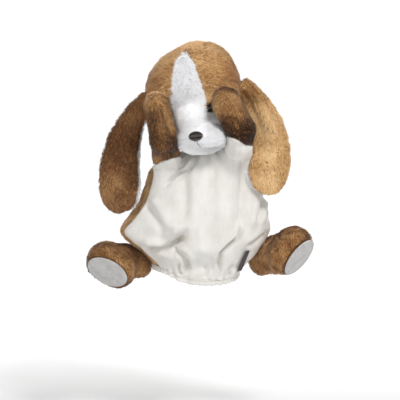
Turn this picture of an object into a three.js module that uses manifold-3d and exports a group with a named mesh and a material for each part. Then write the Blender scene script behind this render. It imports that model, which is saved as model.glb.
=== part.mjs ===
// Puppy glove puppet with its paws raised to its eyes, as separate sewn and stuffed pieces.
// Millimetres, +Z up. The puppet faces -Y and its own right side is -X.
// Origin: the centre of the wrist opening.
import * as THREE from "three";
import { mergeVertices } from "three/addons/utils/BufferGeometryUtils.js";
import Module from "manifold-3d";

const wasm = await Module();
wasm.setup();

// ---------------------------------------------------------------- driving dimensions

const GAP = 0.3; // clearance between pieces that touch in the sewn puppet
const PLUSH = 3.6; // brown and white plush: backing and pile
const BACK_PLUSH = 3; // shorter pile on the back of the glove
const VELOUR = 1.6; // tunic cloth
const LINING = 1; // glove lining
const LINING_GAP = 1.2; // the lining hangs free inside the glove
const ARM_PLUSH = 2.6; // thinner where a finger has to bend the arm
const BLEND = 5; // how sharply neighbouring lobes of a stuffed shape meet

const HEAD_CENTRE = [-3, 0, 184];
const HEAD_ROLL = -9; // degrees: the top leans to the puppet's right
const HEAD_YAW = -8; // degrees: the nose turns to the puppet's right
const HEAD_LOBES = [
  lobe([0, 5, 6], [50, 47, 48]), // skull
  lobe([13, 2, 24], [34, 36, 33]), // fuller left forehead
  lobe([0, -4, -18], [43, 40, 31]), // jowls
  lobe([1, -34, -16], [20, 27, 20]), // bridge of the nose
  lobe([9, -44, -37], [26.5, 27, 16.5]), // muzzle
];
const HEAD_SEAM_Y = 6; // the ears are sewn into this seam, front to back of the head
const NECK_OPENING = 20; // degrees, half angle of the hole under the head

const BLAZE_TIP = 52; // top of the white blaze above the head's centre
const BLAZE_WIDEST = 17; // half width of the blaze
const BLAZE_FOOT = -9; // where the blaze meets the muzzle panel
const MUZZLE_X = 7; // the muzzle sits a little to the left of the blaze
const MUZZLE_HALF = 30; // half width of the white muzzle panel
const MUZZLE_TOP = [-34, 31]; // height where its sides start to round over, and the rise from there
const MUZZLE_BACK = -6; // Y of the back edge of the muzzle and chin panels
const MOUTH_Z = -45; // height of the mouth seam

const NOSE_AT = [6, -70, -32.4];
const NOSE_SIZE = [7.6, 4, 4.2];
const EYES = { right: [-23.5, -37.5, -8.3], left: [21.9, -39.5, -8.3] };
const EYE_RADIUS = 4.6;
const THREAD = 1.1; // thickness of the mouth stitch

const NECK_AT = [4, 0, 132];
const NECK_RADIUS = 18.5;
const NECK_BAND = 2.6; // height of the neck binding

const FINGER = 8.2; // radius of a finger inside a sleeve
const SLEEVE = 1; // cloth of a finger sleeve
const HEAD_POCKET = 48; // depth of the pocket in the head
const HEAD_POCKET_AT = [0, -5, -53]; // mouth of the pocket, from the head's centre
const ARM_POCKET = 32; // depth of the pocket in an arm
const ARM_POCKET_START = -4; // its mouth, along the arm from the shoulder

// Each station of the glove: height, how far it reaches to the puppet's right and left, to the front
// and to the back, then how much it rises at its left end and drops at its right end.
const GLOVE = [
  [6, 47, 44, 33, 28, 0, 0],
  [14, 53, 50, 36, 31, 0, 0],
  [26, 66, 63, 42, 33, 0, 0],
  [42, 81, 75, 45, 34, 0, 0],
  [60, 73, 74, 45, 34, 0, 0],
  [78, 60, 70, 43, 33, 0, 0],
  [98, 54, 63, 40, 31, 2, 3],
  [113, 50, 56, 35, 28, 7, 6],
  [123, 38, 46, 30, 24, 12, 7],
  [129, 16, 24, 21, 19, 1, 1],
];
const GLOVE_SIDES = 22;
const GLOVE_LEVELS = 9;
const HEM_ROLL = -0.1; // rise of the hem for each mm to the left
const HEM_PITCH = 0.33; // rise of the hem for each mm to the back
const HEM_FADE = 45; // height where the hem's slope has died out
const SEAM_MIDDLE = -8; // the side seams lie on one upright plane: its Y at the middle
const SEAM_SLOPE = 0.19; // and its slope, because the tunic wraps further round on the left
const HEM_HEIGHT = 6;
const CASING_WALL = 1.2;
const CASING_SLOT = 2.2;
const ELASTIC = [1.2, 4]; // thickness and width of the elastic

const EAR_ROOT_HALF = 9;
const EAR_HALF = 21.5;
const EAR_THICK = 4; // half thickness of the plush layer
const EAR_LINING = 1.3; // half thickness of the white layer
const EARS = {
  right: {
    spine: [[-50, 0, 185], [-64, -3, 169], [-76, -8, 145], [-82, -14, 118], [-82, -20, 91], [-79.5, -24, 68]],
    facing: [-0.3, -1, 0],
  },
  left: {
    spine: [[46, -2, 200], [59, -9, 186], [72.4, -17, 161], [77.2, -22, 134], [75, -27, 110], [73.5, -29, 88]],
    facing: [0.1, -1, 0],
  },
};

const ARMHOLE = 14; // radius of an armhole in the glove
const ARMS = {
  right: [
    bone([-33, -16, 116], [-35, -56, 146.5], 13),
    bone([-35, -56, 146.5], [-42, -55, 182.5], 14),
  ],
  left: [
    bone([43, -15, 125], [44.8, -50, 144], 12),
    bone([45, -50, 144], [45.5, -57, 157], 12.5),
    bone([45.5, -57, 157], [29.5, -61, 187], 15.5),
  ],
};

const SOLE = { length: 23.5, width: 18, thick: 2 };
const LEGS = {
  right: {
    lobes: [
      bone([-67, 10, 10], [-77, -3, 12], 13),
      bone([-77, -3, 12], [-85, -12, 8], 19),
      bone([-96.5, -16.6, 12.4], [-85.5, -17.4, 6.6], 20.5),
    ],
    heel: 13.5,
    sole: { normal: [-0.29, -0.85, -0.44], along: [0.886, -0.065, -0.459] },
  },
  left: {
    lobes: [
      bone([70, 10, 12], [82.5, -4, 19], 13),
      bone([82.5, -4, 19], [92, -13, 22], 19),
      bone([94.8, -18.7, 21.3], [102.2, -17.3, 30.7], 20),
    ],
    heel: 13.5,
    sole: { normal: [0.675, -0.58, -0.457], along: [0.62, 0.109, 0.777] },
  },
};

const LABEL = [8, 25, 1.4]; // width, height and thickness of the side label
const LABEL_RAISE = 3.2; // how far the label's middle stands off the tunic
const LABEL_PLACE = [0.2, 320]; // share of the glove's height, and degrees round it from +X
const LABEL_TURN = 14; // degrees that its top is turned towards the middle of the tunic

const COLOURS = {
  brown: 0xb07a45,
  white: 0xf2f2f3,
  cream: 0xe9e6df,
  sole: 0xd6d4d2,
  thread: 0x2f2621,
  filling: 0xdedbd2,
  lining: 0xd9cfc0,
  elastic: 0xcfcfcb,
  label: 0x33222e,
};

// ---------------------------------------------------------------- small helpers

function vec(values) {
  return new THREE.Vector3(...values);
}

// A rounded lump of stuffing with its own radius along each axis.
function lobe(at, r) {
  return bone(at, at, r);
}

// The same, drawn out along a line.
function bone(from, to, r) {
  const radii = Array.isArray(r) ? r : [r, r, r];
  return { line: new THREE.Line3(vec(from), vec(to)), r: vec(radii) };
}

function radians(degrees) {
  return THREE.MathUtils.degToRad(degrees);
}

function geometryOf(points, faces) {
  const geometry = new THREE.BufferGeometry();
  geometry.setAttribute("position", new THREE.Float32BufferAttribute(points.flat(), 3));
  geometry.setIndex(faces.flat());
  return geometry;
}

function solidOf(geometry) {
  const bare = geometry.clone();
  bare.deleteAttribute("normal");
  bare.deleteAttribute("uv");
  const merged = mergeVertices(bare, 1e-4);
  return new wasm.Manifold(
    new wasm.Mesh({
      numProp: 3,
      vertProperties: new Float32Array(merged.attributes.position.array),
      triVerts: new Uint32Array(merged.index.array),
    }),
  );
}

function geometryFrom(solid) {
  const mesh = solid.getMesh();
  const geometry = new THREE.BufferGeometry();
  geometry.setAttribute("position", new THREE.BufferAttribute(mesh.vertProperties, 3));
  geometry.setIndex(new THREE.BufferAttribute(mesh.triVerts, 1));
  return geometry;
}

function cut(geometry, ...tools) {
  return geometryFrom(tools.reduce((left, tool) => left.subtract(solidOf(tool)), solidOf(geometry)));
}

function keep(geometry, ...tools) {
  return geometryFrom(tools.reduce((left, tool) => left.intersect(solidOf(tool)), solidOf(geometry)));
}

function named(name, geometry, colour, roughness = 0.95) {
  const material = new THREE.MeshStandardMaterial({ color: COLOURS[colour], roughness, metalness: 0 });
  const mesh = new THREE.Mesh(geometry, material);
  mesh.name = name;
  return mesh;
}

// Turns a shape that was made upright on the origin towards a direction, and moves it to a point.
function aimed(geometry, at, direction) {
  const turn = new THREE.Quaternion().setFromUnitVectors(vec([0, 0, 1]), direction.clone().normalize());
  return geometry.applyQuaternion(turn).translate(at.x, at.y, at.z);
}

// Lays a flat shape down so that its length runs along a direction and its face looks along a normal.
function laid(geometry, at, along, normal) {
  const across = normal.clone().cross(along).normalize();
  const frame = new THREE.Matrix4().makeBasis(across.clone().cross(normal), across, normal);
  return geometry.applyMatrix4(frame.setPosition(at));
}

// ---------------------------------------------------------------- stuffed shapes

function fieldAt(point, lobes) {
  let sum = 0;
  const nearest = new THREE.Vector3();
  for (const one of lobes) {
    one.line.closestPointToPoint(point, true, nearest);
    const share = point.clone().sub(nearest).divide(one.r).lengthSq();
    sum += Math.exp(-BLEND * (share - 1));
  }
  return sum;
}

// Distance from the shape's middle to its skin, in one direction.
function reach(shape, direction) {
  let near = 0;
  let far = 150;
  for (let step = 0; step < 24; step++) {
    const middle = (near + far) / 2;
    const point = shape.middle.clone().addScaledVector(direction, middle);
    if (fieldAt(point, shape.lobes) > 1) near = middle;
    else far = middle;
  }
  if (shape.flat) {
    const slope = direction.dot(shape.flat.normal);
    if (slope > 0) return Math.min(near, shape.flat.distance / slope);
  }
  return near;
}

// Rings of skin points round an axis, from a polar angle down to the far pole.
function skinRings(shape, inset, start, rings, sides) {
  const turn = new THREE.Quaternion().setFromUnitVectors(vec([0, 0, 1]), shape.axis);
  const pointAt = (polar, around) => {
    const direction = new THREE.Vector3().setFromSphericalCoords(1, polar, around);
    direction.set(direction.z, direction.x, direction.y).applyQuaternion(turn);
    const distance = reach(shape, direction) - inset;
    return shape.middle.clone().addScaledVector(direction, distance).toArray();
  };
  const points = [];
  for (let ring = 0; ring < rings; ring++) {
    const polar = start + ((Math.PI - start) * ring) / rings;
    for (let side = 0; side < sides; side++) points.push(pointAt(polar, (2 * Math.PI * side) / sides));
  }
  points.push(pointAt(Math.PI, 0));
  return points;
}

function ringFaces(rings, sides, first) {
  const faces = [];
  for (let ring = 0; ring < rings - 1; ring++) {
    for (let side = 0; side < sides; side++) {
      const a = first + ring * sides + side;
      const b = first + ring * sides + ((side + 1) % sides);
      faces.push([a, a + sides, b + sides], [a, b + sides, b]);
    }
  }
  const pole = first + rings * sides;
  const last = first + (rings - 1) * sides;
  for (let side = 0; side < sides; side++) faces.push([last + side, pole, last + ((side + 1) % sides)]);
  return faces;
}

// A closed stuffed shape, on the same rings as the skin round it.
function stuffed(shape, inset, opening, rings, sides) {
  const points = skinRings(shape, inset, radians(opening), rings, sides);
  const top = points.length;
  const middleTop = shape.middle.clone().addScaledVector(shape.axis, reach(shape, shape.axis) - inset);
  points.push(middleTop.toArray());
  const faces = ringFaces(rings, sides, 0);
  for (let side = 0; side < sides; side++) faces.push([top, side, (side + 1) % sides]);
  return geometryOf(points, faces);
}

// The plush skin round a stuffed shape, open round the shape's axis.
function skin(shape, thick, opening, rings, sides) {
  const outer = skinRings(shape, 0, radians(opening), rings, sides);
  const inner = skinRings(shape, thick, radians(opening), rings, sides);
  const count = outer.length;
  const faces = ringFaces(rings, sides, 0);
  for (const [a, b, c] of ringFaces(rings, sides, count)) faces.push([a, c, b]);
  for (let side = 0; side < sides; side++) {
    const next = (side + 1) % sides;
    faces.push([side, next, count + next], [side, count + next, count + side]);
  }
  return geometryOf([...outer, ...inner], faces);
}

function shapeOf(lobes, middle, axis, flat) {
  return { lobes, middle: vec(middle), axis: vec(axis).normalize(), flat };
}

// ---------------------------------------------------------------- swept shapes

// A closed wall: rings of equal length, joined in order, the last one back to the first.
function wall(rings) {
  const sides = rings[0].length;
  const faces = [];
  rings.forEach((_, ring) => {
    const here = ring * sides;
    const there = ((ring + 1) % rings.length) * sides;
    for (let side = 0; side < sides; side++) {
      const next = (side + 1) % sides;
      faces.push([here + side, here + next, there + next], [here + side, there + next, there + side]);
    }
  });
  return geometryOf(rings.flat(), faces);
}

// A closed loft with a point at each end.
function loft(start, rings, end) {
  const sides = rings[0].length;
  const points = [...rings.flat(), start, end];
  const faces = [];
  for (let side = 0; side < sides; side++) {
    const next = (side + 1) % sides;
    faces.push([points.length - 2, side, next]);
    for (let ring = 0; ring < rings.length - 1; ring++) {
      const a = ring * sides;
      faces.push([a + side, a + sides + next, a + next], [a + side, a + sides + side, a + sides + next]);
    }
    const last = (rings.length - 1) * sides;
    faces.push([points.length - 1, last + next, last + side]);
  }
  return geometryOf(points, faces);
}

function smooth(stations, share) {
  const place = share * (stations.length - 1);
  const index = Math.min(Math.floor(place), stations.length - 2);
  const t = place - index;
  const pick = (offset) => stations[THREE.MathUtils.clamp(index + offset, 0, stations.length - 1)];
  return stations[0].map((_, column) => {
    const [a, b, c, d] = [-1, 0, 1, 2].map((offset) => pick(offset)[column]);
    const slopes = [(c - a) / 2, (d - b) / 2];
    const bend = 3 * (c - b) - 2 * slopes[0] - slopes[1];
    return b + slopes[0] * t + bend * t * t + (slopes[0] + slopes[1] - 2 * (c - b)) * t * t * t;
  });
}

// One ring of the glove's cloth, a given distance inside its outer face.
function gloveRing(share, inset) {
  const [height, right, left, front, back, rise, drop] = smooth(GLOVE, share);
  const above = smooth(GLOVE, Math.min(1, share + 0.02));
  const below = smooth(GLOVE, Math.max(0, share - 0.02));
  const climb = new THREE.Vector2((above[1] + above[2] - below[1] - below[2]) / 2, above[0] - below[0]).normalize();
  const ring = [];
  for (let side = 0; side < GLOVE_SIDES; side++) {
    const angle = (2 * Math.PI * side) / GLOVE_SIDES;
    const across = Math.cos(angle);
    const deep = Math.sin(angle);
    const x = across * ((across > 0 ? left : right) - inset * climb.y);
    const y = deep * ((deep > 0 ? back : front) - inset * climb.y);
    const slope = Math.max(0, 1 - height / HEM_FADE);
    const shoulder = across * (across > 0 ? rise : drop);
    ring.push([x, y, height + inset * climb.x + slope * (HEM_ROLL * x + HEM_PITCH * y) + shoulder]);
  }
  return ring;
}

function gloveShell(inset, thick) {
  const rings = [];
  for (let level = 0; level <= GLOVE_LEVELS; level++) rings.push(gloveRing(level / GLOVE_LEVELS, inset));
  for (let level = GLOVE_LEVELS; level >= 0; level--) rings.push(gloveRing(level / GLOVE_LEVELS, inset + thick));
  return wall(rings);
}

// ---------------------------------------------------------------- cutting tools

function halfSpace(side, gap) {
  const size = 400;
  const box = new THREE.BoxGeometry(size, size, size);
  box.translate(0, side * (size / 2 + gap / 2), 0);
  return box;
}

function frontOrBack(side) {
  return halfSpace(side, GAP).rotateZ(Math.atan(SEAM_SLOPE)).translate(0, SEAM_MIDDLE, 0);
}

// A prism along Y with an outline in X and Z, from far in front back to a given Y.
function prism(outline, back) {
  const front = -130;
  const shape = new THREE.Shape(outline.map(([x, z]) => new THREE.Vector2(x, z)));
  const geometry = new THREE.ExtrudeGeometry(shape, { depth: back - front, bevelEnabled: false });
  return geometry.rotateX(Math.PI / 2).translate(0, back, 0);
}

function blazePrism(gap) {
  const edge = [];
  for (let step = 0; step <= 10; step++) {
    const share = step / 10;
    const waist = 1 - 0.12 * Math.cos(Math.PI * Math.min(1, share * 2.2)) ** 2 * (1 - share);
    const half = BLAZE_WIDEST * waist * Math.sqrt(Math.max(0, 1 - share ** 3.2));
    edge.push([half + gap, BLAZE_FOOT - gap + (BLAZE_TIP - BLAZE_FOOT + 2 * gap) * share]);
  }
  return prism([...edge, ...edge.map(([x, z]) => [-x, z]).reverse()], 0);
}

// Straight sides from below the chin, rounded over at the top.
function muzzlePrism(gap) {
  const half = MUZZLE_HALF + gap;
  const [shoulder, rise] = MUZZLE_TOP;
  const edge = [[half, -100]];
  for (let step = 0; step <= 6; step++) {
    const angle = (Math.PI / 2) * (step / 6);
    edge.push([half * Math.cos(angle) ** 0.7, shoulder + (rise + gap) * Math.sin(angle)]);
  }
  const outline = [...edge, ...edge.map(([x, z]) => [-x, z]).reverse()];
  return prism(outline, MUZZLE_BACK).translate(MUZZLE_X, 0, 0);
}

function block(low, high) {
  const size = vec(high).sub(vec(low));
  const middle = vec(high).add(vec(low)).divideScalar(2);
  return new THREE.BoxGeometry(size.x, size.y, size.z).translate(middle.x, middle.y, middle.z);
}

// ---------------------------------------------------------------- finger sleeves

// A round-ended rod of a given radius, standing on the origin.
function rod(radius, length) {
  const profile = [new THREE.Vector2(0, 0), new THREE.Vector2(radius, 0)];
  for (let step = 0; step <= 3; step++) {
    const angle = (Math.PI / 2) * (step / 3);
    profile.push(new THREE.Vector2(radius * Math.cos(angle), length - radius + radius * Math.sin(angle)));
  }
  profile[profile.length - 1].x = 0;
  return new THREE.LatheGeometry(profile, 10).rotateX(Math.PI / 2);
}

function sleeve(length) {
  return cut(rod(FINGER + SLEEVE, length), rod(FINGER, length - SLEEVE).translate(0, 0, -0.01));
}

// Room for a sleeve, open past its mouth.
function pocket(length) {
  const past = 12;
  return rod(FINGER + SLEEVE + GAP, length + GAP + past).translate(0, 0, -past);
}

// A block that holds the paw but not the forearm, standing on the origin.
function halfPaw() {
  return new THREE.BoxGeometry(90, 90, 90).translate(0, 0, 45);
}

// ---------------------------------------------------------------- head

const puppet = new THREE.Group();
const headGroup = new THREE.Group();
headGroup.position.set(...HEAD_CENTRE);
headGroup.rotation.set(0, radians(HEAD_ROLL), radians(HEAD_YAW));
headGroup.updateMatrix();
puppet.add(headGroup);

const headShape = shapeOf(HEAD_LOBES, [0, -6, -4], [0, 0, -1]);
const HEAD_GRID = [NECK_OPENING, 15, 24];
const headSkin = skin(headShape, PLUSH, ...HEAD_GRID);

function addHeadPanels() {
  const front = keep(headSkin, halfSpace(-1, GAP).translate(0, HEAD_SEAM_Y, 0));
  const back = keep(headSkin, halfSpace(1, GAP).translate(0, HEAD_SEAM_Y, 0));
  const blaze = keep(front, blazePrism(0));
  const white = cut(front, blazePrism(GAP));
  const muzzle = keep(white, muzzlePrism(0), block([-60, -130, MOUTH_Z], [60, 60, 20]));
  const chin = keep(white, muzzlePrism(0), block([-60, -130, -120], [60, 60, MOUTH_Z - GAP]));
  const sides = cut(white, muzzlePrism(GAP));
  headGroup.add(
    named("head_back", back, "brown"),
    named("blaze_panel", blaze, "white"),
    named("muzzle_panel", muzzle, "white"),
    named("chin_panel", chin, "white"),
    named("head_side_right", keep(sides, block([-100, -130, -100], [-GAP / 2, 60, 100])), "brown"),
    named("head_side_left", keep(sides, block([GAP / 2, -130, -100], [100, 60, 100])), "brown"),
  );
}

function addHeadInside() {
  const hole = pocket(HEAD_POCKET).translate(...HEAD_POCKET_AT);
  const filling = cut(stuffed(headShape, PLUSH + GAP, ...HEAD_GRID), hole);
  headGroup.add(
    named("head_filling", filling, "filling"),
    named("head_finger_sleeve", sleeve(HEAD_POCKET).translate(...HEAD_POCKET_AT), "lining"),
  );
}

// Embroidery stands on the plush: a flattened shape with the head's skin cut away under it.
function embroidered(at, size) {
  const ball = new THREE.SphereGeometry(1, 12, 8).scale(...size).translate(...at);
  return cut(ball, stuffed(headShape, -GAP, ...HEAD_GRID));
}

function mouthStitch() {
  const path = new THREE.CatmullRomCurve3([
    vec([6.5, -71, -37]),
    vec([7.8, -70, -42.4]),
    vec([11.3, -67, -46]),
    vec([17.2, -62.8, -48]),
    vec([23.6, -58, -48]),
  ]);
  const section = new THREE.Shape().absarc(0, 0, THREAD, 0, 2 * Math.PI);
  const thread = new THREE.ExtrudeGeometry(section, {
    steps: 12,
    curveSegments: 3,
    bevelEnabled: false,
    extrudePath: path,
  });
  return cut(thread, stuffed(headShape, -GAP, ...HEAD_GRID));
}

addHeadPanels();
addHeadInside();
headGroup.add(named("nose", embroidered(NOSE_AT, NOSE_SIZE), "thread", 0.5));
headGroup.add(named("mouth_stitch", mouthStitch(), "thread", 0.6));
for (const [side, at] of Object.entries(EYES)) {
  headGroup.add(named("eye_" + side, embroidered(at, [EYE_RADIUS, EYE_RADIUS, EYE_RADIUS]), "thread", 0.5));
}

// ---------------------------------------------------------------- ears

// How wide the ear is along its length, as a share of its widest.
function earHalf(share) {
  const neck = EAR_ROOT_HALF + (EAR_HALF - EAR_ROOT_HALF) * Math.sin((Math.PI / 2) * Math.min(1, share / 0.8)) ** 1.5;
  const tip = Math.sqrt(Math.max(0, 1 - (Math.max(0, share - 0.74) / 0.26) ** 2.2));
  return neck * tip;
}

function earLayer(ear, from, thick, extra) {
  const path = new THREE.CatmullRomCurve3(ear.spine.map(vec));
  const facing = vec(ear.facing).normalize();
  const rings = [];
  const steps = 11;
  for (let step = 0; step < steps; step++) {
    const share = 0.01 + (0.97 * step) / (steps - 1);
    const along = path.getTangent(share);
    const across = new THREE.Vector3().crossVectors(along, facing).normalize();
    const out = new THREE.Vector3().crossVectors(across, along).normalize();
    const middle = path.getPoint(share).addScaledVector(out, from);
    const half = Math.max(2, earHalf(share) + extra);
    const ring = [];
    for (let side = 0; side < 12; side++) {
      const angle = (2 * Math.PI * side) / 12;
      const point = middle.clone();
      point.addScaledVector(across, half * Math.cos(angle));
      point.addScaledVector(out, thick * Math.sin(angle));
      ring.push(point.toArray());
    }
    rings.push(ring);
  }
  const out = new THREE.Vector3().crossVectors(
    new THREE.Vector3().crossVectors(path.getTangent(0), facing),
    path.getTangent(0),
  );
  const start = path.getPoint(0).addScaledVector(out.normalize(), from);
  const end = path.getPoint(1).addScaledVector(out, from);
  return loft(start.toArray(), rings, end.toArray());
}

const headRoom = stuffed(headShape, -1, ...HEAD_GRID).applyMatrix4(headGroup.matrix);
for (const [side, ear] of Object.entries(EARS)) {
  const plush = earLayer(ear, 0, EAR_THICK, 0);
  const lining = earLayer(ear, -EAR_THICK - EAR_LINING - GAP, EAR_LINING, 0.5);
  puppet.add(named("ear_" + side + "_plush", cut(plush, headRoom), "brown"));
  puppet.add(named("ear_" + side + "_lining", cut(lining, headRoom), "white"));
}

// ---------------------------------------------------------------- glove

function armhole(arm) {
  const at = arm[0].line.start;
  const direction = arm[0].line.delta(new THREE.Vector3()).normalize();
  const tool = new THREE.CylinderGeometry(ARMHOLE, ARMHOLE, 60, 20).rotateX(Math.PI / 2);
  return aimed(tool.translate(0, 0, 14), at, direction);
}

function addGlove() {
  const holes = Object.values(ARMS).map(armhole);
  const tunic = cut(keep(gloveShell(0, VELOUR), frontOrBack(-1)), ...holes);
  const back = cut(keep(gloveShell(0, BACK_PLUSH), frontOrBack(1)), ...holes);
  const lining = gloveShell(BACK_PLUSH + LINING_GAP, LINING);
  puppet.add(named("tunic_front", tunic, "cream"));
  puppet.add(named("back_panel", back, "brown"));
  puppet.add(named("lining_front", cut(keep(lining, frontOrBack(-1)), ...holes), "lining"));
  puppet.add(named("lining_back", cut(keep(lining, frontOrBack(1)), ...holes), "lining"));
}

// A ring that follows the hem, with a section of distances inwards and heights below the hem.
function hemRing(section) {
  const rings = section.map(([inwards, down]) => gloveRing(0, inwards).map(([x, y, z]) => [x, y, z - down]));
  return wall(rings);
}

function addHem() {
  const slotEnd = CASING_WALL + CASING_SLOT;
  const outer = slotEnd + CASING_WALL;
  const bottom = GAP + HEM_HEIGHT;
  const casing = [
    [0, bottom],
    [0, GAP],
    [CASING_WALL, GAP],
    [CASING_WALL, bottom - CASING_WALL],
    [slotEnd, bottom - CASING_WALL],
    [slotEnd, GAP],
    [outer, GAP],
    [outer, bottom],
  ];
  const inside = CASING_WALL + (CASING_SLOT - ELASTIC[0]) / 2;
  const low = bottom - CASING_WALL - GAP;
  const elastic = [
    [inside, low],
    [inside, low - ELASTIC[1]],
    [inside + ELASTIC[0], low - ELASTIC[1]],
    [inside + ELASTIC[0], low],
  ];
  puppet.add(named("hem_casing", hemRing(casing), "cream"));
  puppet.add(named("hem_elastic", hemRing(elastic), "elastic"));
}

function addLabel() {
  const [share, turn] = LABEL_PLACE;
  const side = (turn / 360) * GLOVE_SIDES;
  const place = (at, level) => vec(smooth(gloveRing(level, 0), at / (GLOVE_SIDES - 1)));
  const middle = place(side, share);
  const along = place(side, share + 0.08).sub(middle).normalize();
  const across = place(side + 1, share).sub(middle).normalize();
  const out = new THREE.Vector3().crossVectors(across, along).normalize();
  across.crossVectors(along, out);
  const frame = new THREE.Matrix4().makeBasis(across, along, out);
  const tag = new THREE.BoxGeometry(...LABEL).rotateZ(radians(LABEL_TURN)).translate(0, 0, LABEL_RAISE);
  const mesh = named("side_label", tag, "label", 0.7);
  mesh.applyMatrix4(frame.setPosition(middle));
  puppet.add(mesh);
}

function addNeck() {
  const profile = [
    [NECK_RADIUS, 0],
    [NECK_RADIUS, NECK_BAND],
    [NECK_RADIUS - 3, NECK_BAND],
    [NECK_RADIUS - 3, 0],
    [NECK_RADIUS, 0],
  ].map(([r, z]) => new THREE.Vector2(r, z));
  const ring = new THREE.LatheGeometry(profile, 24).rotateX(Math.PI / 2);
  const mesh = named("neck_binding", ring, "cream");
  mesh.position.set(NECK_AT[0], NECK_AT[1], NECK_AT[2] - NECK_BAND / 2);
  puppet.add(mesh);
}

addGlove();
addHem();
addLabel();
addNeck();

// ---------------------------------------------------------------- arms

const ARM_GRID = [16, 9, 12];
for (const [side, arm] of Object.entries(ARMS)) {
  const root = arm[0].line.start;
  const elbow = arm[0].line.end;
  const towards = elbow.clone().sub(root).normalize();
  const middle = elbow.clone().lerp(arm[arm.length - 1].line.end, 0.2);
  const shape = shapeOf(arm, middle.toArray(), root.clone().sub(middle).toArray());
  const base = root.clone().addScaledVector(towards, ARM_POCKET_START);
  const beyondSleeve = aimed(halfPaw(), base.clone().addScaledVector(towards, ARM_POCKET + GAP), towards);
  const filling = keep(stuffed(shape, ARM_PLUSH + GAP, ...ARM_GRID), beyondSleeve);
  puppet.add(
    named("arm_" + side + "_cover", skin(shape, ARM_PLUSH, ...ARM_GRID), "brown"),
    named("paw_" + side + "_filling", filling, "filling"),
    named("arm_" + side + "_finger_sleeve", aimed(sleeve(ARM_POCKET), base, towards), "lining"),
  );
}

// ---------------------------------------------------------------- legs

const LEG_GRID = [14, 10, 14];
for (const [side, leg] of Object.entries(LEGS)) {
  const hip = leg.lobes[0].line.start;
  const foot = leg.lobes[2].line.getCenter(new THREE.Vector3());
  const normal = vec(leg.sole.normal).normalize();
  const middle = leg.lobes[1].line.end;
  const distance = foot.clone().sub(middle).dot(normal) + leg.heel;
  const shape = shapeOf(leg.lobes, middle.toArray(), hip.clone().sub(middle).toArray(), { normal, distance });
  const pad = new THREE.CylinderGeometry(1, 1, SOLE.thick, 24).rotateX(Math.PI / 2);
  pad.scale(SOLE.length, SOLE.width, 1).translate(0, 0, SOLE.thick / 2 + GAP);
  const soleAt = foot.clone().addScaledVector(normal, leg.heel);
  puppet.add(
    named("leg_" + side + "_cover", skin(shape, PLUSH, ...LEG_GRID), "brown"),
    named("leg_" + side + "_filling", stuffed(shape, PLUSH + GAP, ...LEG_GRID), "filling"),
    named("leg_" + side + "_sole", laid(pad, soleAt, vec(leg.sole.along), normal), "sole"),
  );
}

export default puppet;
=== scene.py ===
"""Looks of a puppy glove puppet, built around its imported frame.

Shapes are worked out in millimetres with numpy and become meshes in metres.
The puppet faces -Y, its own right is -X, and the origin is the middle of its wrist opening.
"""

import math

import bpy
import numpy as np
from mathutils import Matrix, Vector


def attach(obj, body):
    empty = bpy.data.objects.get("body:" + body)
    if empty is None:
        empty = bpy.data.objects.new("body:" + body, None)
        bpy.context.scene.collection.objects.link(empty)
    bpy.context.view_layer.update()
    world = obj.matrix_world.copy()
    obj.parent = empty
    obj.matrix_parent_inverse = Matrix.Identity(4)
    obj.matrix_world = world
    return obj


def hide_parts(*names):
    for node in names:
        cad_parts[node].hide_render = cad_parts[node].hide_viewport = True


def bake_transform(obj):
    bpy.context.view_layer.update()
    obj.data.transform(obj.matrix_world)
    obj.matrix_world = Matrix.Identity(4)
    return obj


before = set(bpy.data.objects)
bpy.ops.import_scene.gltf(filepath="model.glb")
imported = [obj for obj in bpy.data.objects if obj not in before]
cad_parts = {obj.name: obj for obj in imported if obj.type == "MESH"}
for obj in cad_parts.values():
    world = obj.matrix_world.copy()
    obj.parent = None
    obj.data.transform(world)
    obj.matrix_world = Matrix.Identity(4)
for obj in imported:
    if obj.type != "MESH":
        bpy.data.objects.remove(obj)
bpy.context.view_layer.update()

MM = 0.001
SIDES = ("right", "left")  # the puppet's own

# ---- driving dimensions in mm and degrees, the CAD's own or close to them

BLEND = 5  # how sharply neighbouring lobes of a stuffed shape meet
GAP = 0.3  # clear space between neighbouring CAD solids

PLUSH_BACKING = 1.2  # thickness of each cloth
ARM_BACKING = 1.1
VELOUR = 1.1
SOLE_VELOUR = 0.9
COTTON = 0.6
WOVEN = 0.25

HEAD_CENTRE = (-3, 0, 184)
HEAD_ROLL = -9
HEAD_YAW = -8
HEAD_SEAM_Y = 6
BLAZE_TIP = 52
BLAZE_WIDEST = 17
BLAZE_FOOT = -9
MUZZLE_X = 7
MUZZLE_HALF = 30
MUZZLE_TOP = (-34, 31)
MOUTH_Z = -45
NOSE_AT = (6, -70, -31.6)
NOSE_SIZE = (7.8, 4, 4.4)
EYES = {"right": (-23.5, -37.5, -8.3), "left": (21.9, -39.5, -8.3)}
EYE_RADIUS = 4.6
MOUTH_PATH = ((6.5, -71, -37), (7.8, -70, -42.4), (11.3, -67, -46), (17.2, -62.8, -48), (23.6, -58, -48))

NECK_AT = (4, 0, 132)
NECK_RADIUS = 18.5

GLOVE = np.array(  # height, reach to right, left, front and back, rise at the left, drop at the right
    [
        [6, 47, 44, 33, 28, 0, 0],
        [14, 53, 50, 36, 31, 0, 0],
        [26, 66, 63, 42, 33, 0, 0],
        [42, 81, 75, 45, 34, 0, 0],
        [60, 73, 74, 45, 34, 0, 0],
        [78, 60, 70, 43, 33, 0, 0],
        [98, 54, 63, 40, 31, 2, 3],
        [113, 50, 56, 35, 28, 7, 6],
        [123, 38, 46, 30, 24, 12, 7],
        [129, 16, 24, 21, 19, 1, 1],
    ],
    float,
)
HEM_ROLL = -0.1
HEM_PITCH = 0.33
HEM_FADE = 45
SEAM_MIDDLE = -8
SEAM_SLOPE = 0.19
HEM_HEIGHT = 6
HEM_LIFT = (-34, 14, 5.5, 34)  # middle, size and height of the tucked part of the hem, and where it fades out

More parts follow.
